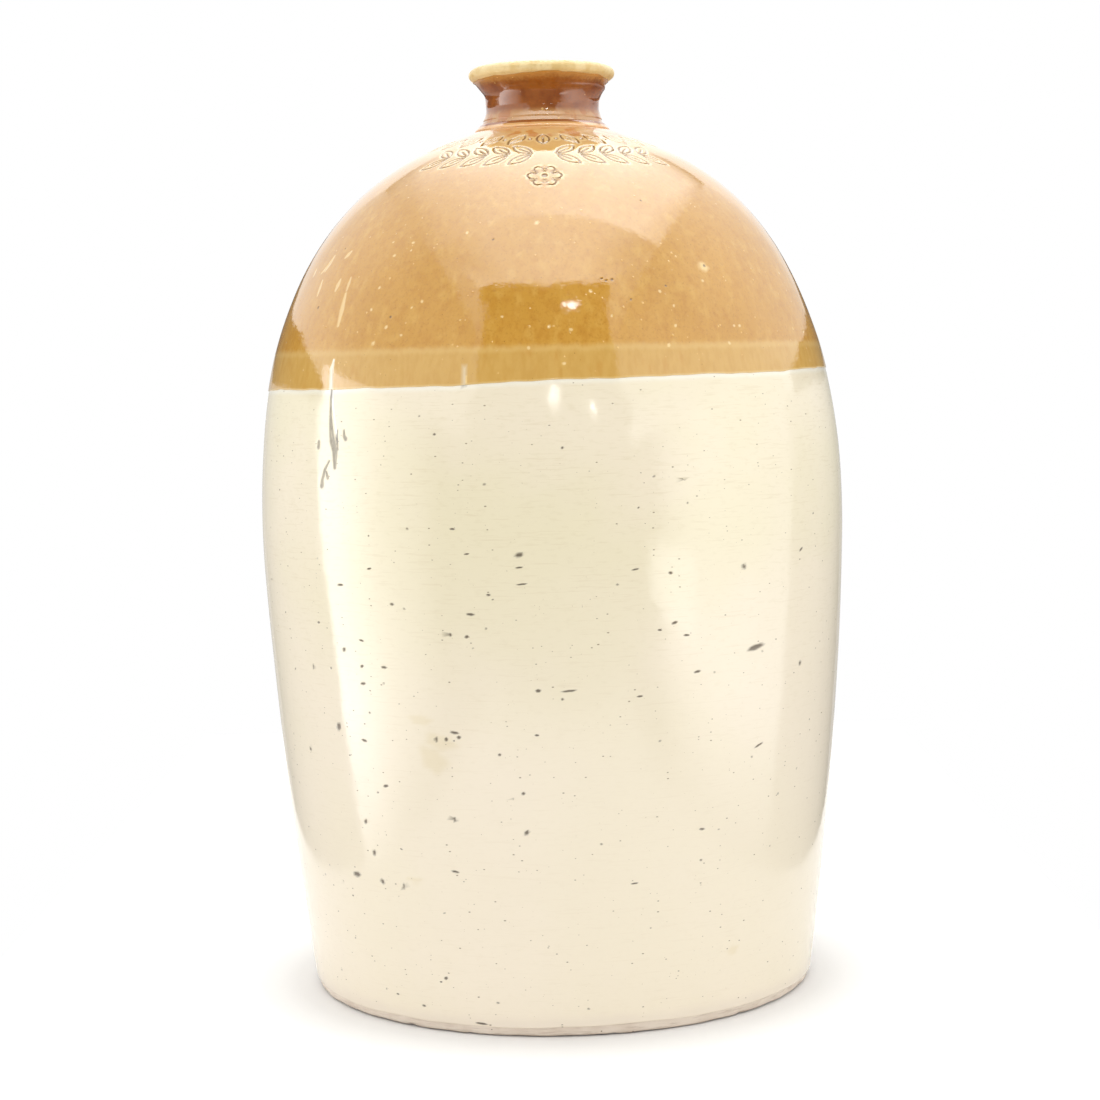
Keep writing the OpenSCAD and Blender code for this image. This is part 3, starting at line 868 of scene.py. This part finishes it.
def make_lining():
    points = section("lining_glaze")
    floor_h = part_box("lining_glaze")[0].z
    outer_r, outer_z = points[: len(points) // 2].T
    order = np.argsort(outer_z)

    def spacing(r, z):
        return np.where(z > NECK_FOOT_H - 4 * MM, 1.5 * MM, 3.5 * MM)

    def dent(turn, r, z):
        inner_side = r < np.interp(z, outer_z[order], outer_r[order]) - 0.2 * MM
        ring = 0.5 + 0.5 * np.sin(2 * math.pi * z / LINING_RING_PITCH + turn)
        above_floor = ramp(z, floor_h + 20 * MM, floor_h + 40 * MM)
        under_neck = ramp(z, NECK_FOOT_H - 10 * MM, NECK_FOOT_H - 30 * MM)
        return -LINING_RINGS * ring * above_floor * under_neck * inner_side

    return solid("lining_coat", points, False, spacing, dent)


def make_cork():
    chance = random.Random(3)
    low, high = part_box("cork_bung")
    pores = []
    for i in range(CORK_PORES):
        angle, on_top = chance.uniform(-math.pi, math.pi), i % 3 == 0
        far = high.x * math.sqrt(chance.random()) if on_top else high.x
        height = high.z if on_top else chance.uniform(low.z, high.z)
        pores.append((far * math.sin(angle), -far * math.cos(angle), height, chance.uniform(0.5, 1.3) * MM))

    def dent(turn, r, z):
        spots = np.stack([r * np.sin(turn), -r * np.cos(turn), z], 1)
        push = np.zeros(len(r))
        for x, y, height, size in pores:
            gap = np.linalg.norm((spots - (x, y, height)) / (size, size, 0.6 * size), axis=1)
            push += 0.5 * MM * bell(gap)
        return push + 0.03 * MM * (1 + np.sin(23 * turn + 900 * z))

    def spacing(r, z):
        return np.full(len(r), 0.6 * MM)

    return solid("cork", section("cork_bung"), False, spacing, dent, CORK_COLUMNS)


class Paint:
    """One node material, built up in layers, with short calls for the nodes that it is made of."""

    def __init__(self, name, **sockets):
        self.material = bpy.data.materials.new(name)
        self.material.use_nodes = True
        self.tree = self.material.node_tree
        self.shader = self.tree.nodes["Principled BSDF"]
        self.surface = self.tree.nodes["Material Output"].inputs["Surface"]
        self.position = self.add("TexCoord").outputs["Object"]
        self.colour = None
        self.normal = None
        for socket, value in sockets.items():
            self.shader.inputs[socket.replace("_", " ")].default_value = value

    def add(self, kind, **settings):
        node = self.tree.nodes.new("ShaderNode" + kind)
        for key, value in settings.items():
            setattr(node, key, value)
        return node

    def plug(self, socket, value):
        if isinstance(value, bpy.types.NodeSocket):
            self.tree.links.new(value, socket)
        else:
            socket.default_value = value

    def plugged(self, node, values, out=0):
        """The node's output, with values plugged into its sockets by index."""
        for index, value in values.items():
            self.plug(node.inputs[index], value)
        return node.outputs[out]

    def math(self, operation, a, b):
        return self.plugged(self.add("Math", operation=operation), {0: a, 1: b})

    def times(self, a, b):
        return self.math("MULTIPLY", a, b)

    def plus(self, a, b):
        return self.math("ADD", a, b)

    def span(self, value, low, high, to_low=0.0, to_high=1.0, curve="SMOOTHSTEP"):
        """value brought from one range to another."""
        node = self.add("MapRange", interpolation_type=curve)
        return self.plugged(node, {0: value, 1: low, 2: high, 3: to_low, 4: to_high})

    def between(self, value, low, low_end, high_start, high):
        """1 between two limits, fading to 0 past them."""
        return self.times(self.span(value, low, low_end), self.span(value, high_start, high, 1, 0))

    def mix(self, share, a, b):
        return self.plugged(self.add("Mix", data_type="RGBA"), {0: share, 6: a, 7: b}, 2)

    def attribute(self, name):
        return self.add("Attribute", attribute_name=name).outputs["Fac"]

    def height(self):
        return self.plugged(self.add("SeparateXYZ"), {0: self.position}, 2)

    def stretched(self, by):
        return self.plugged(self.add("VectorMath", operation="MULTIPLY"), {0: self.position, 1: by})

    def noise(self, cell, detail=2.0, by=(1, 1, 1), rough=0.5):
        """Noise whose features are about cell metres across."""
        node = self.add("TexNoise")
        self.plug(node.inputs["Vector"], self.stretched(by))
        node.inputs["Scale"].default_value = 1 / cell
        node.inputs["Detail"].default_value = detail
        node.inputs["Roughness"].default_value = rough
        return node.outputs["Fac"]

    def patches(self, cell, low, high, most=1.0, detail=3, by=(1, 1, 1), rough=0.5):
        """Patches about cell metres across, where the noise goes from low to high."""
        return self.span(self.noise(cell, detail, by, rough), low, high, 0, most)

    def dots(self, cell, size, share, by=(1, 1, 1)):
        """Round spots up to size cells across, in a share of the cells."""
        node = self.add("TexVoronoi")
        self.plug(node.inputs["Vector"], self.stretched(by))
        node.inputs["Scale"].default_value = 1 / cell
        channels = self.add("SeparateColor")
        self.plug(channels.inputs[0], node.outputs["Color"])
        chosen = self.math("GREATER_THAN", channels.outputs[0], 1 - share)
        grown = self.times(channels.outputs[1], size)
        spot = self.span(self.math("SUBTRACT", grown, node.outputs["Distance"]), 0.0, 0.35 * size)
        return self.times(spot, chosen)

    def ground(self, share, first, second):
        """Starts the colour as a mix of two, given as screen numbers."""
        self.colour = self.mix(share, srgb(*first), srgb(*second))

    def layer(self, share, *rgb):
        """Lays a colour over those before, as far as share says."""
        self.colour = self.mix(share, self.colour, srgb(*rgb))

    def bump(self, height, distance):
        """Adds relief to the relief before it."""
        node = self.add("Bump")
        node.inputs["Distance"].default_value = distance
        self.plug(node.inputs["Height"], height)
        if self.normal:
            self.plug(node.inputs["Normal"], self.normal)
        self.normal = node.outputs[0]

    def finish(self, roughness):
        sockets = {"Base Color": self.colour, "Roughness": roughness, "Normal": self.normal}
        for socket, value in sockets.items():
            self.plug(self.shader.inputs[socket], value)
        return self.material


def cream_paint():
    paint = Paint("cream_gloss", IOR=1.5)
    high = paint.height()
    paint.ground(paint.patches(0.11, 0.35, 0.65), (239, 227, 202), (234, 224, 192))
    paint.layer(paint.patches(0.004, 0.5, 0.8, 0.22, by=(1, 1, 2.5)), 212, 198, 160)
    wiped = paint.patches(0.0035, 0.56, 0.72, 0.22, by=(0.25, 0.25, 4))
    paint.layer(wiped, 208, 190, 150)
    under_dip = paint.span(paint.attribute("from_dip"), 0.0, 3.2, 0.75, 0.0)
    paint.layer(under_dip, 246, 243, 230)
    paint.layer(paint.span(high, 0.1, 0.27, 0.62, 0), 244, 232, 213)
    low_edge = paint.plus(high, paint.times(paint.noise(0.02), 0.008))
    paint.layer(paint.span(low_edge, 0.009, 0.017, 0.5, 0), 230, 216, 200)
    specks = paint.dots(0.0042, 0.17, 0.55, (1, 1, 2.0))
    tiny = paint.dots(0.0021, 0.14, 0.4, (1, 1, 1.4))
    paint.layer(paint.times(tiny, 0.5), 160, 138, 100)
    paint.layer(paint.times(specks, 0.7), 112, 90, 60)
    paint.layer(paint.attribute("stain"), 214, 192, 128)
    # Painted highlight: the pale rim of the nick, and the score, which is pale partly as a scratch.
    paint.layer(paint.attribute("pale"), 253, 251, 244)
    patchy = paint.span(paint.noise(0.0018, 3, (1, 1, 0.5)), 0.32, 0.6, 0.7, 1)
    paint.layer(paint.times(paint.attribute("grey"), patchy), 148, 141, 130)
    paint.layer(paint.attribute("dark"), 64, 48, 28)
    rough = paint.span(paint.noise(0.03, 3), 0.3, 0.7, 0.09, 0.15)
    for tone, duller in (("dark", 0.4), ("grey", 0.5)):
        rough = paint.plus(rough, paint.times(paint.attribute(tone), duller))
    paint.bump(paint.noise(0.0035), 0.00003)
    paint.bump(paint.noise(0.008), 0.00006)
    paint.bump(specks, -0.0001)
    return paint.finish(rough)


def mottle_dome(paint, high):
    """The mottled golden glaze of the dome, with a painted sheen that makes its top paler, and glaze
    pooling in patches towards the neck.
    """
    paint.ground(paint.patches(0.06, 0.35, 0.65), (205, 152, 60), (199, 146, 52))
    paint.layer(paint.patches(0.0034, 0.42, 0.7, 0.5, 4, (1, 1, 0.6), 0.65), 186, 126, 36)
    paint.layer(paint.patches(0.0050, 0.5, 0.75, 0.5, by=(1, 1, 0.5)), 216, 170, 80)
    paint.layer(paint.patches(0.0012, 0.5, 0.8, 0.4, 2), 168, 110, 34)
    # Painted sheen: the top of the dome is made paler, as if it reflected the roof.
    crown_sheen = paint.times(paint.span(high, 0.408, 0.416), 0.62)
    paint.layer(crown_sheen, 240, 198, 138)
    pools = paint.times(paint.patches(0.008, 0.5, 0.62), paint.span(high, 0.4165, 0.4205))
    paint.layer(paint.times(pools, 0.8), 204, 128, 48)


def band_over_cream(paint):
    """The paler band where the ochre glaze lies over the cream, with a painted highlight along the ridge at
    its top.
    """
    lap = paint.attribute("from_low")
    streaks = paint.patches(0.0026, 0.35, 0.7, by=(1, 1, 0.3))
    band = paint.mix(streaks, srgb(211, 169, 91), srgb(205, 161, 82))
    brown = paint.patches(0.0045, 0.55, 0.8, 0.5, by=(1, 1, 0.3))
    band = paint.mix(brown, band, srgb(196, 138, 54))
    ragged = paint.plus(lap, paint.times(paint.noise(0.003, 3, (1, 1, 0.4)), 2.5))
    paint.colour = paint.mix(paint.span(ragged, 15.4, 18.6, 0.85, 0), paint.colour, band)
    # Painted highlight: a pale line along the ridge at the top of the cream.
    line = paint.between(ragged, 13.6, 16.2, 16.2, 19.4)
    paint.layer(paint.times(line, 0.35), 226, 190, 118)
    paint.layer(paint.span(lap, 0.1, 1.1, 0.5, 0), 232, 206, 146)


def neck_glaze_and_shade(paint, high):
    """The darker, redder glaze of the neck, partly thicker glaze and partly painted shade under the lip,
    with a painted reflection on the bead between the grooves, and dark lines in the grooves that are partly
    glaze pooling and partly painted shade.
    """
    # Partly thicker glaze, partly painted shade: the neck under the lip is made darker and browner.
    brown = paint.mix(paint.patches(0.006, 0.35, 0.7), srgb(150, 86, 30), srgb(130, 68, 18))
    neck = paint.times(paint.span(high, 0.4340, 0.4376, 0.5, 1), paint.span(high, 0.4306, 0.4314))
    paint.colour = paint.mix(neck, paint.colour, brown)
    # Painted reflection: the bead between the grooves is made paler, as if it reflected the roof.
    collar_reflection = paint.between(high, 0.4248, 0.4256, 0.4288, 0.4294)
    paint.layer(paint.times(collar_reflection, 0.55), 232, 178, 118)
    # Partly glaze pooling, partly painted shade: dark lines in both grooves, the lower one only where the
    # skin is hollow.
    upper_groove = paint.between(high, 0.4291, 0.4296, 0.4307, 0.4313)
    paint.layer(paint.times(upper_groove, 0.85), 140, 64, 18)
    lower_groove = paint.between(high, 0.424, 0.4255, 0.4268, 0.4275)
    pooled_and_shaded = paint.span(paint.attribute("hollow"), 0.10, 0.24)
    paint.layer(paint.times(pooled_and_shaded, lower_groove), 120, 60, 24)
    rim = paint.plus(paint.attribute("from_high"), paint.times(paint.noise(0.0016, 3), 4.0))
    paint.layer(paint.span(rim, 1.6, 7.0, 0.9, 0), 200, 148, 78)


def ochre_paint():
    paint = Paint("ochre_gloss", IOR=1.5)
    high = paint.height()
    mottle_dome(paint, high)
    band_over_cream(paint)
    neck_glaze_and_shade(paint, high)
    spots = paint.dots(0.0036, 0.2, 0.6)
    paint.layer(paint.times(spots, 0.65), 240, 196, 112)
    flecks = paint.dots(0.0024, 0.13, 0.4)
    paint.layer(paint.times(flecks, 0.6), 124, 76, 24)
    # Pale spots and drag marks, together with the painted highlight rims round the pressed marks and the
    # nick.
    paint.layer(paint.times(paint.attribute("pale"), 0.8), 248, 219, 156)
    # Partly a pale scratch, partly a painted highlight: the score is made near white.
    paint.layer(paint.attribute("score"), 250, 238, 214)
    paint.layer(paint.attribute("grey"), 226, 208, 172)
    paint.layer(paint.attribute("dark"), 112, 84, 52)
    paint.bump(paint.noise(0.0022, 3), 0.00003)
    paint.bump(paint.noise(0.0055), 0.00004)
    paint.bump(spots, 0.00008)
    return paint.finish(paint.span(paint.noise(0.02, 3), 0.3, 0.7, 0.05, 0.10))


def lip_paint():
    paint = Paint("bare_lip_clay", IOR=1.45)
    paint.ground(paint.patches(0.008, 0.35, 0.7), (230, 207, 153), (213, 182, 118))
    paint.layer(paint.patches(0.0016, 0.56, 0.8, 0.4, 4), 184, 138, 72)
    paint.bump(paint.noise(0.0009, 4, rough=0.7), 0.00005)
    return paint.finish(paint.span(paint.noise(0.002), 0.3, 0.7, 0.35, 0.55))


def clay_paint():
    paint = Paint("bare_clay", IOR=1.45)
    paint.ground(paint.patches(0.012, 0.35, 0.7, detail=4), (230, 217, 201), (220, 205, 188))
    strata = paint.patches(0.0014, 0.5, 0.75, 0.6, 4, (0.15, 0.15, 1.5))
    paint.layer(strata, 188, 168, 150)
    paint.layer(paint.dots(0.003, 0.2, 0.25), 110, 88, 70)
    # Painted shade: the lowest edge of the foot, where it meets the table, is made darker.
    foot_contact_shade = paint.span(paint.height(), 0.0, 0.0014, 0.7, 0)
    paint.layer(foot_contact_shade, 140, 120, 104)
    paint.bump(paint.noise(0.0008, 5, rough=0.75), 0.00015)
    return paint.finish(paint.span(paint.noise(0.002), 0.3, 0.7, 0.6, 0.85))


def lining_paint():
    paint = Paint("lining_gloss", IOR=1.5)
    paint.ground(paint.patches(0.015, 0.35, 0.65, detail=4), (176, 122, 62), (146, 94, 40))
    paint.layer(paint.dots(0.004, 0.17, 0.4), 96, 60, 26)
    paint.bump(paint.noise(0.003, 3), 0.00005)
    return paint.finish(paint.span(paint.noise(0.02), 0.3, 0.7, 0.12, 0.22))


def cork_paint():
    paint = Paint("cork_grain", IOR=1.4)
    paint.ground(paint.patches(0.005, 0.3, 0.7, detail=4), (196, 152, 104), (168, 122, 76))
    paint.layer(paint.patches(0.0013, 0.52, 0.72, 0.6, 4, (1, 1, 1.8)), 136, 92, 54)
    pores = paint.dots(0.0034, 0.26, 0.45, (1.6, 1, 1.6))
    paint.layer(pores, 70, 42, 24)
    paint.bump(paint.noise(0.0009, 4, rough=0.7), 0.0002)
    paint.bump(pores, -0.0004)
    return paint.finish(paint.span(paint.noise(0.002), 0.3, 0.7, 0.7, 0.9))


def dress(piece, body, slot, material, *nodes):
    """Gives a piece its material and its body, and hides the nodes that it stands for; the slot is not
    used.
    """
    piece.data.materials.append(material)
    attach(piece, body)
    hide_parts(*nodes)


def tent_light(name, glow):
    """A light as bright in reflections as the mesh's shine says, and otherwise as bright as glow."""
    paint = Paint(name)
    paint.tree.nodes.remove(paint.shader)
    reflected = paint.add("LightPath").outputs["Is Glossy Ray"]
    lamp = paint.add("Emission")
    strength = paint.plugged(paint.add("Mix"), {0: reflected, 2: glow, 3: paint.attribute("shine")})
    paint.plug(lamp.inputs["Strength"], strength)
    paint.plug(paint.surface, lamp.outputs[0])
    paint.material.cycles.emission_sampling = "NONE"
    return paint.material


def stage_lamp(name, points, faces, shine, glow):
    """Adds a lamp to the scene, unseen by the camera itself, with its shine at each point."""
    mesh = bpy.data.meshes.new(name)
    mesh.from_pydata(points, [], faces)
    mesh.attributes.new("shine", "FLOAT", "POINT").data.foreach_set("value", shine)
    mesh.materials.append(tent_light(name, glow))
    panel = new_object(name, mesh)
    panel.visible_camera = False


def strip_faces(pairs):
    """The faces of a strip whose points come in pairs, one on each edge."""
    return [(2 * i, 2 * i + 2, 2 * i + 3, 2 * i + 1) for i in range(pairs - 1)]


def soft_panel(name, start, end, rise, shine, glow=WALL_GLOW, end_rise=None, fade=(1, 1), far_shine=None):
    """A lit cloth panel from start to end, raised by rise, with its shine at even steps along it."""
    start, end, rise = Vector(start), Vector(end), Vector(rise)
    end_rise = Vector(end_rise) if end_rise else rise
    points = []
    for share in np.linspace(0, 1, len(shine)):
        foot = start.lerp(end, share)
        points += [foot, foot + rise.lerp(end_rise, share)]
    edges = zip(shine, far_shine or shine)
    levels = [level for near, far in edges for level in (near * fade[0], far * fade[1])]
    stage_lamp(name, points, strip_faces(len(shine)), levels, glow)


def glint(name, middle, wide, high, shine):
    """A small oval lamp that faces the flagon and is seen in reflections only."""
    middle = Vector(middle)
    aim = (Vector((0, 0, 0.3)) - middle).normalized()
    across = aim.cross(Vector((0, 0, 1))).normalized() * wide / 2
    up = across.cross(aim).normalized() * high / 2
    turns = [2 * math.pi * i / GLINT_SIDES for i in range(GLINT_SIDES)]
    points = [middle + across * math.cos(turn) + up * math.sin(turn) for turn in turns]
    stage_lamp(name, points, [tuple(range(GLINT_SIDES))], [shine] * GLINT_SIDES, 0.0)


def side_wall(name, x, front, back, lean, shine, gap_shine, gap_fade, gap_glow, sill_shine):
    """A low side wall whose rear edge leans back, the dim gap behind it, and the sill over the gap."""
    inner = 0.995 * x
    for part, low, high, fade in (
        ("top", 0.0, GAP_H, (1, 1)), ("middle", -0.16, 0.0, (0.25, 1)), ("foot", -0.6, -0.16, (0.25, 0.25))
    ):
        rise, rear_rise = Vector((0, 0, high - low)), Vector((0, lean * (high - low), high - low))
        start, end = (x, front, low), (x, back + lean * low, low)
        soft_panel(f"{name}_{part}", start, end, rise, shine, end_rise=rear_rise, fade=fade)
    for part, low, high, level, fade in (
        ("gap_foot", -0.6, 0.0, gap_shine, (0.5 * gap_fade[0], gap_fade[0])),
        ("gap", 0.0, GAP_FOOT_H, gap_shine, gap_fade), ("sill", GAP_FOOT_H, GAP_H, sill_shine, (1, 1)),
    ):
        rise, rear_rise = Vector((0, lean * (high - low), high - low)), Vector((0, 0, high - low))
        start = (inner, back + lean * low, low)
        soft_panel(f"{name}_{part}", start, (inner, TENT_BACK, low), rise, level, gap_glow, rear_rise, fade)


def dark_band(name, x, edges, glow):
    """The dark slit over a low wall, between a lower and an upper edge."""
    points = [(x, back, height) for back, low, high in edges for height in (low, high)]
    stage_lamp(name, points, strip_faces(len(edges)), [DARK_SHINE] * len(points), glow)


def make_lights():
    """A light tent: a roof, side walls with a dim gap low down at the back, and small lamps."""
    left, right, front, back = -0.71, 0.71, -1.2, TENT_BACK
    upper = (0, 0, TENT_H - GAP_H)
    side_wall(
        "left_low", left, -0.80, -0.03, 0.25, (0.5, 1.2, 2.0, 2.6, 3.6, 5, 6.2, 6.2),
        (1.7, 1.1, 0.8, 0.7, 0.6), (0.48, 1.05), LEFT_GAP_GLOW, (2.2, 1.8, 1.3, 1.2),
    )
    side_wall(
        "right_low", right, -0.95, 0.03, 0.23, (0.7, 2.0, 3.0, 3.5, 3.4, 3.0, 2.4, 2.0),
        (1.5, 1.1, 0.8, 0.6, 0.5), (0.3, 1.05), RIGHT_GAP_GLOW, (2.2, 1.4, 1.0, 1.0),
    )
    dark_band("left_dark_band", 0.99 * left, LEFT_DARK_BAND, LEFT_GAP_GLOW)
    dark_band("right_dark_band", 0.99 * right, RIGHT_DARK_BAND, RIGHT_GAP_GLOW)
    soft_panel(
        "back_band", (left, 0.99 * back, 0.37), (right, 0.99 * back, 0.37), (0, 0, 0.18),
        (DARK_SHINE, DARK_SHINE), 0.6, (0, 0, 0.14),
    )
    soft_panel(
        "back_low", (left, back, -0.6), (right, back, -0.6), (0, 0, 1.01), (0.6, 0.5, 0.5), RIGHT_GAP_GLOW,
    )
    soft_panel(
        "back_high_wall", (left, back, GAP_FOOT_H), (right, back, GAP_FOOT_H), (0, 0, TENT_H - GAP_FOOT_H),
        (1, 1), fade=(0.9, 2.0),
    )
    soft_panel(
        "left_high_wall", (left, front, GAP_H), (left, back, GAP_H), upper,
        (1.5, 1.7, 1.9, 2.5, 1.9, 1.4, 1.3), fade=(0.95, 1.1),
    )
    soft_panel(
        "right_high_wall", (right, front, GAP_H), (right, back, GAP_H), upper,
        (2.4, 2.7, 2.7, 2.4, 1.4, 1.0, 0.9), RIGHT_WALL_GLOW, far_shine=(1.9, 2.1, 2.3, 3.1, 2.6, 2.0, 1.8),
    )
    soft_panel("left_curtain", (left, front, 0.72), (-0.64, front, 0.72), (0, 0, 0.8), (2.0, 2.0))
    soft_panel("right_curtain", (0.62, front, 0.72), (right, front, 0.72), (0, 0, 0.8), (2.3, 2.3))
    for name, side, corner, arm in (("left", left, -0.515, -0.65), ("right", right, 0.495, 0.63)):
        edge, middle, reach = (corner, -0.785, TENT_H), (0, -0.885, TENT_H), (0, 0.625, 0)
        wing = (side - corner, 0.525, 0)
        soft_panel(
            name + "_roof_front", middle, edge, reach, (6.2, 5.8, 5.4), ROOF_GLOW, wing,
            far_shine=(6.4, 6.0, 2.6),
        )
        tip, tip_wing = (arm, front, TENT_H), (side - arm, 0, 0)
        soft_panel(name + "_roof_arm", edge, tip, wing, (3.6, 2.4), ROOF_GLOW, tip_wing)
    soft_panel(
        "roof_back", (left, -0.26, TENT_H), (right, -0.26, TENT_H), (0, back + 0.26, 0),
        (3.2, 4.9, 6.4, 7.4, 8.4, 9.0, 8.4, 5.4), ROOF_GLOW,
        far_shine=(0.6, 1.0, 1.8, 3.0, 3.2, 1.6, 0.4, 0.2),
    )
    soft_panel("window_light", (0.69, -1.03, 0.01), (0.69, -0.55, 0.01), (0, 0, 0.12), (1.5, 4.4, 4.8, 4.4))
    glint("dome_glint", (0.200, -1.010, 1.19), 0.140, 0.018, 60)
    glint("dip_glint", (0.035, -1.15, 0.648), 0.065, 0.055, 22)
    glint("side_glint", (0.33, -1.15, 0.61), 0.06, 0.04, 22)
    glint("low_glint", (0.66, -1.15, 0.52), 0.05, 0.035, 7)


def make_world():
    """White behind the flagon, a dim room in its reflections, and soft light on all else."""
    world = bpy.data.worlds.new("studio")
    bpy.context.scene.world = world
    world.use_nodes = True
    nodes, links = world.node_tree.nodes, world.node_tree.links
    path = nodes.new("ShaderNodeLightPath")
    seen = nodes["Background"]
    for level, is_ray in ((ROOM_GLOW, None), (ROOM_SHINE, "Is Glossy Ray"), (1.0, "Is Camera Ray")):
        shade = seen if is_ray is None else nodes.new("ShaderNodeBackground")
        shade.inputs["Color"].default_value = (level, level, level, 1)
        if is_ray:
            mix = nodes.new("ShaderNodeMixShader")
            links.new(path.outputs[is_ray], mix.inputs[0])
            links.new(seen.outputs[0], mix.inputs[1])
            links.new(shade.outputs[0], mix.inputs[2])
            seen = mix
    links.new(seen.outputs[0], nodes["World Output"].inputs["Surface"])


def make_floor():
    """A white table that keeps the flagon's shadow, and is lifted to white further out."""
    paint = Paint("table_white", Base_Color=TABLE_WHITE, Roughness=0.6)
    distance = paint.plugged(paint.add("VectorMath", operation="LENGTH"), {0: paint.position}, "Value")
    clear = paint.span(distance, *SHADOW_REACH, 0, TABLE_LIFT, "LINEAR")
    rays = paint.add("LightPath").outputs
    seen = paint.math("MAXIMUM", rays["Is Camera Ray"], rays["Is Glossy Ray"])
    lift = paint.add("Emission")
    paint.plug(lift.inputs["Strength"], paint.times(seen, clear))
    both = paint.plugged(paint.add("AddShader"), {0: paint.shader.outputs[0], 1: lift.outputs[0]})
    paint.plug(paint.surface, both)
    paint.material.cycles.emission_sampling = "NONE"
    mesh = bpy.data.meshes.new("table_top")
    left, right, near, far = TABLE_EDGES
    corners = [(left, near, 0), (right, near, 0), (right, far, 0), (left, far, 0)]
    mesh.from_pydata(corners, [], [(0, 1, 2, 3)])
    mesh.materials.append(paint.material)
    floor = new_object("table_top", mesh)
    floor.location.z = -TABLE_CLEARANCE


def make_camera():
    data = bpy.data.cameras.new("photo_camera")
    data.lens = LENS
    data.sensor_width = SENSOR_W
    camera = new_object("photo_camera", data)
    camera.matrix_world = Matrix.LocRotScale(CAMERA_PLACE, CAMERA_TURN, None)
    bpy.context.scene.camera = camera


make_camera()
make_world()
make_floor()
make_lights()
clay = clay_paint()
dress(make_lower_clay(), "flagon", "stoneware", clay, "lower_body")
dress(make_dome_clay(), "flagon", "stoneware", clay, "shoulder_dome")
dress(make_neck_clay(), "flagon", "bare_lip", lip_paint(), "neck_ring")
dress(make_cream_coat(), "flagon", "cream_glaze", cream_paint(), "cream_glaze")
dress(make_ochre_coat(), "flagon", "ochre_glaze", ochre_paint(), "ochre_glaze")
dress(make_lining(), "flagon", "lining_glaze", lining_paint(), "lining_glaze")
dress(make_cork(), "bung", "cork", cork_paint(), "cork_bung")
bpy.context.scene.view_settings.view_transform = "Standard"
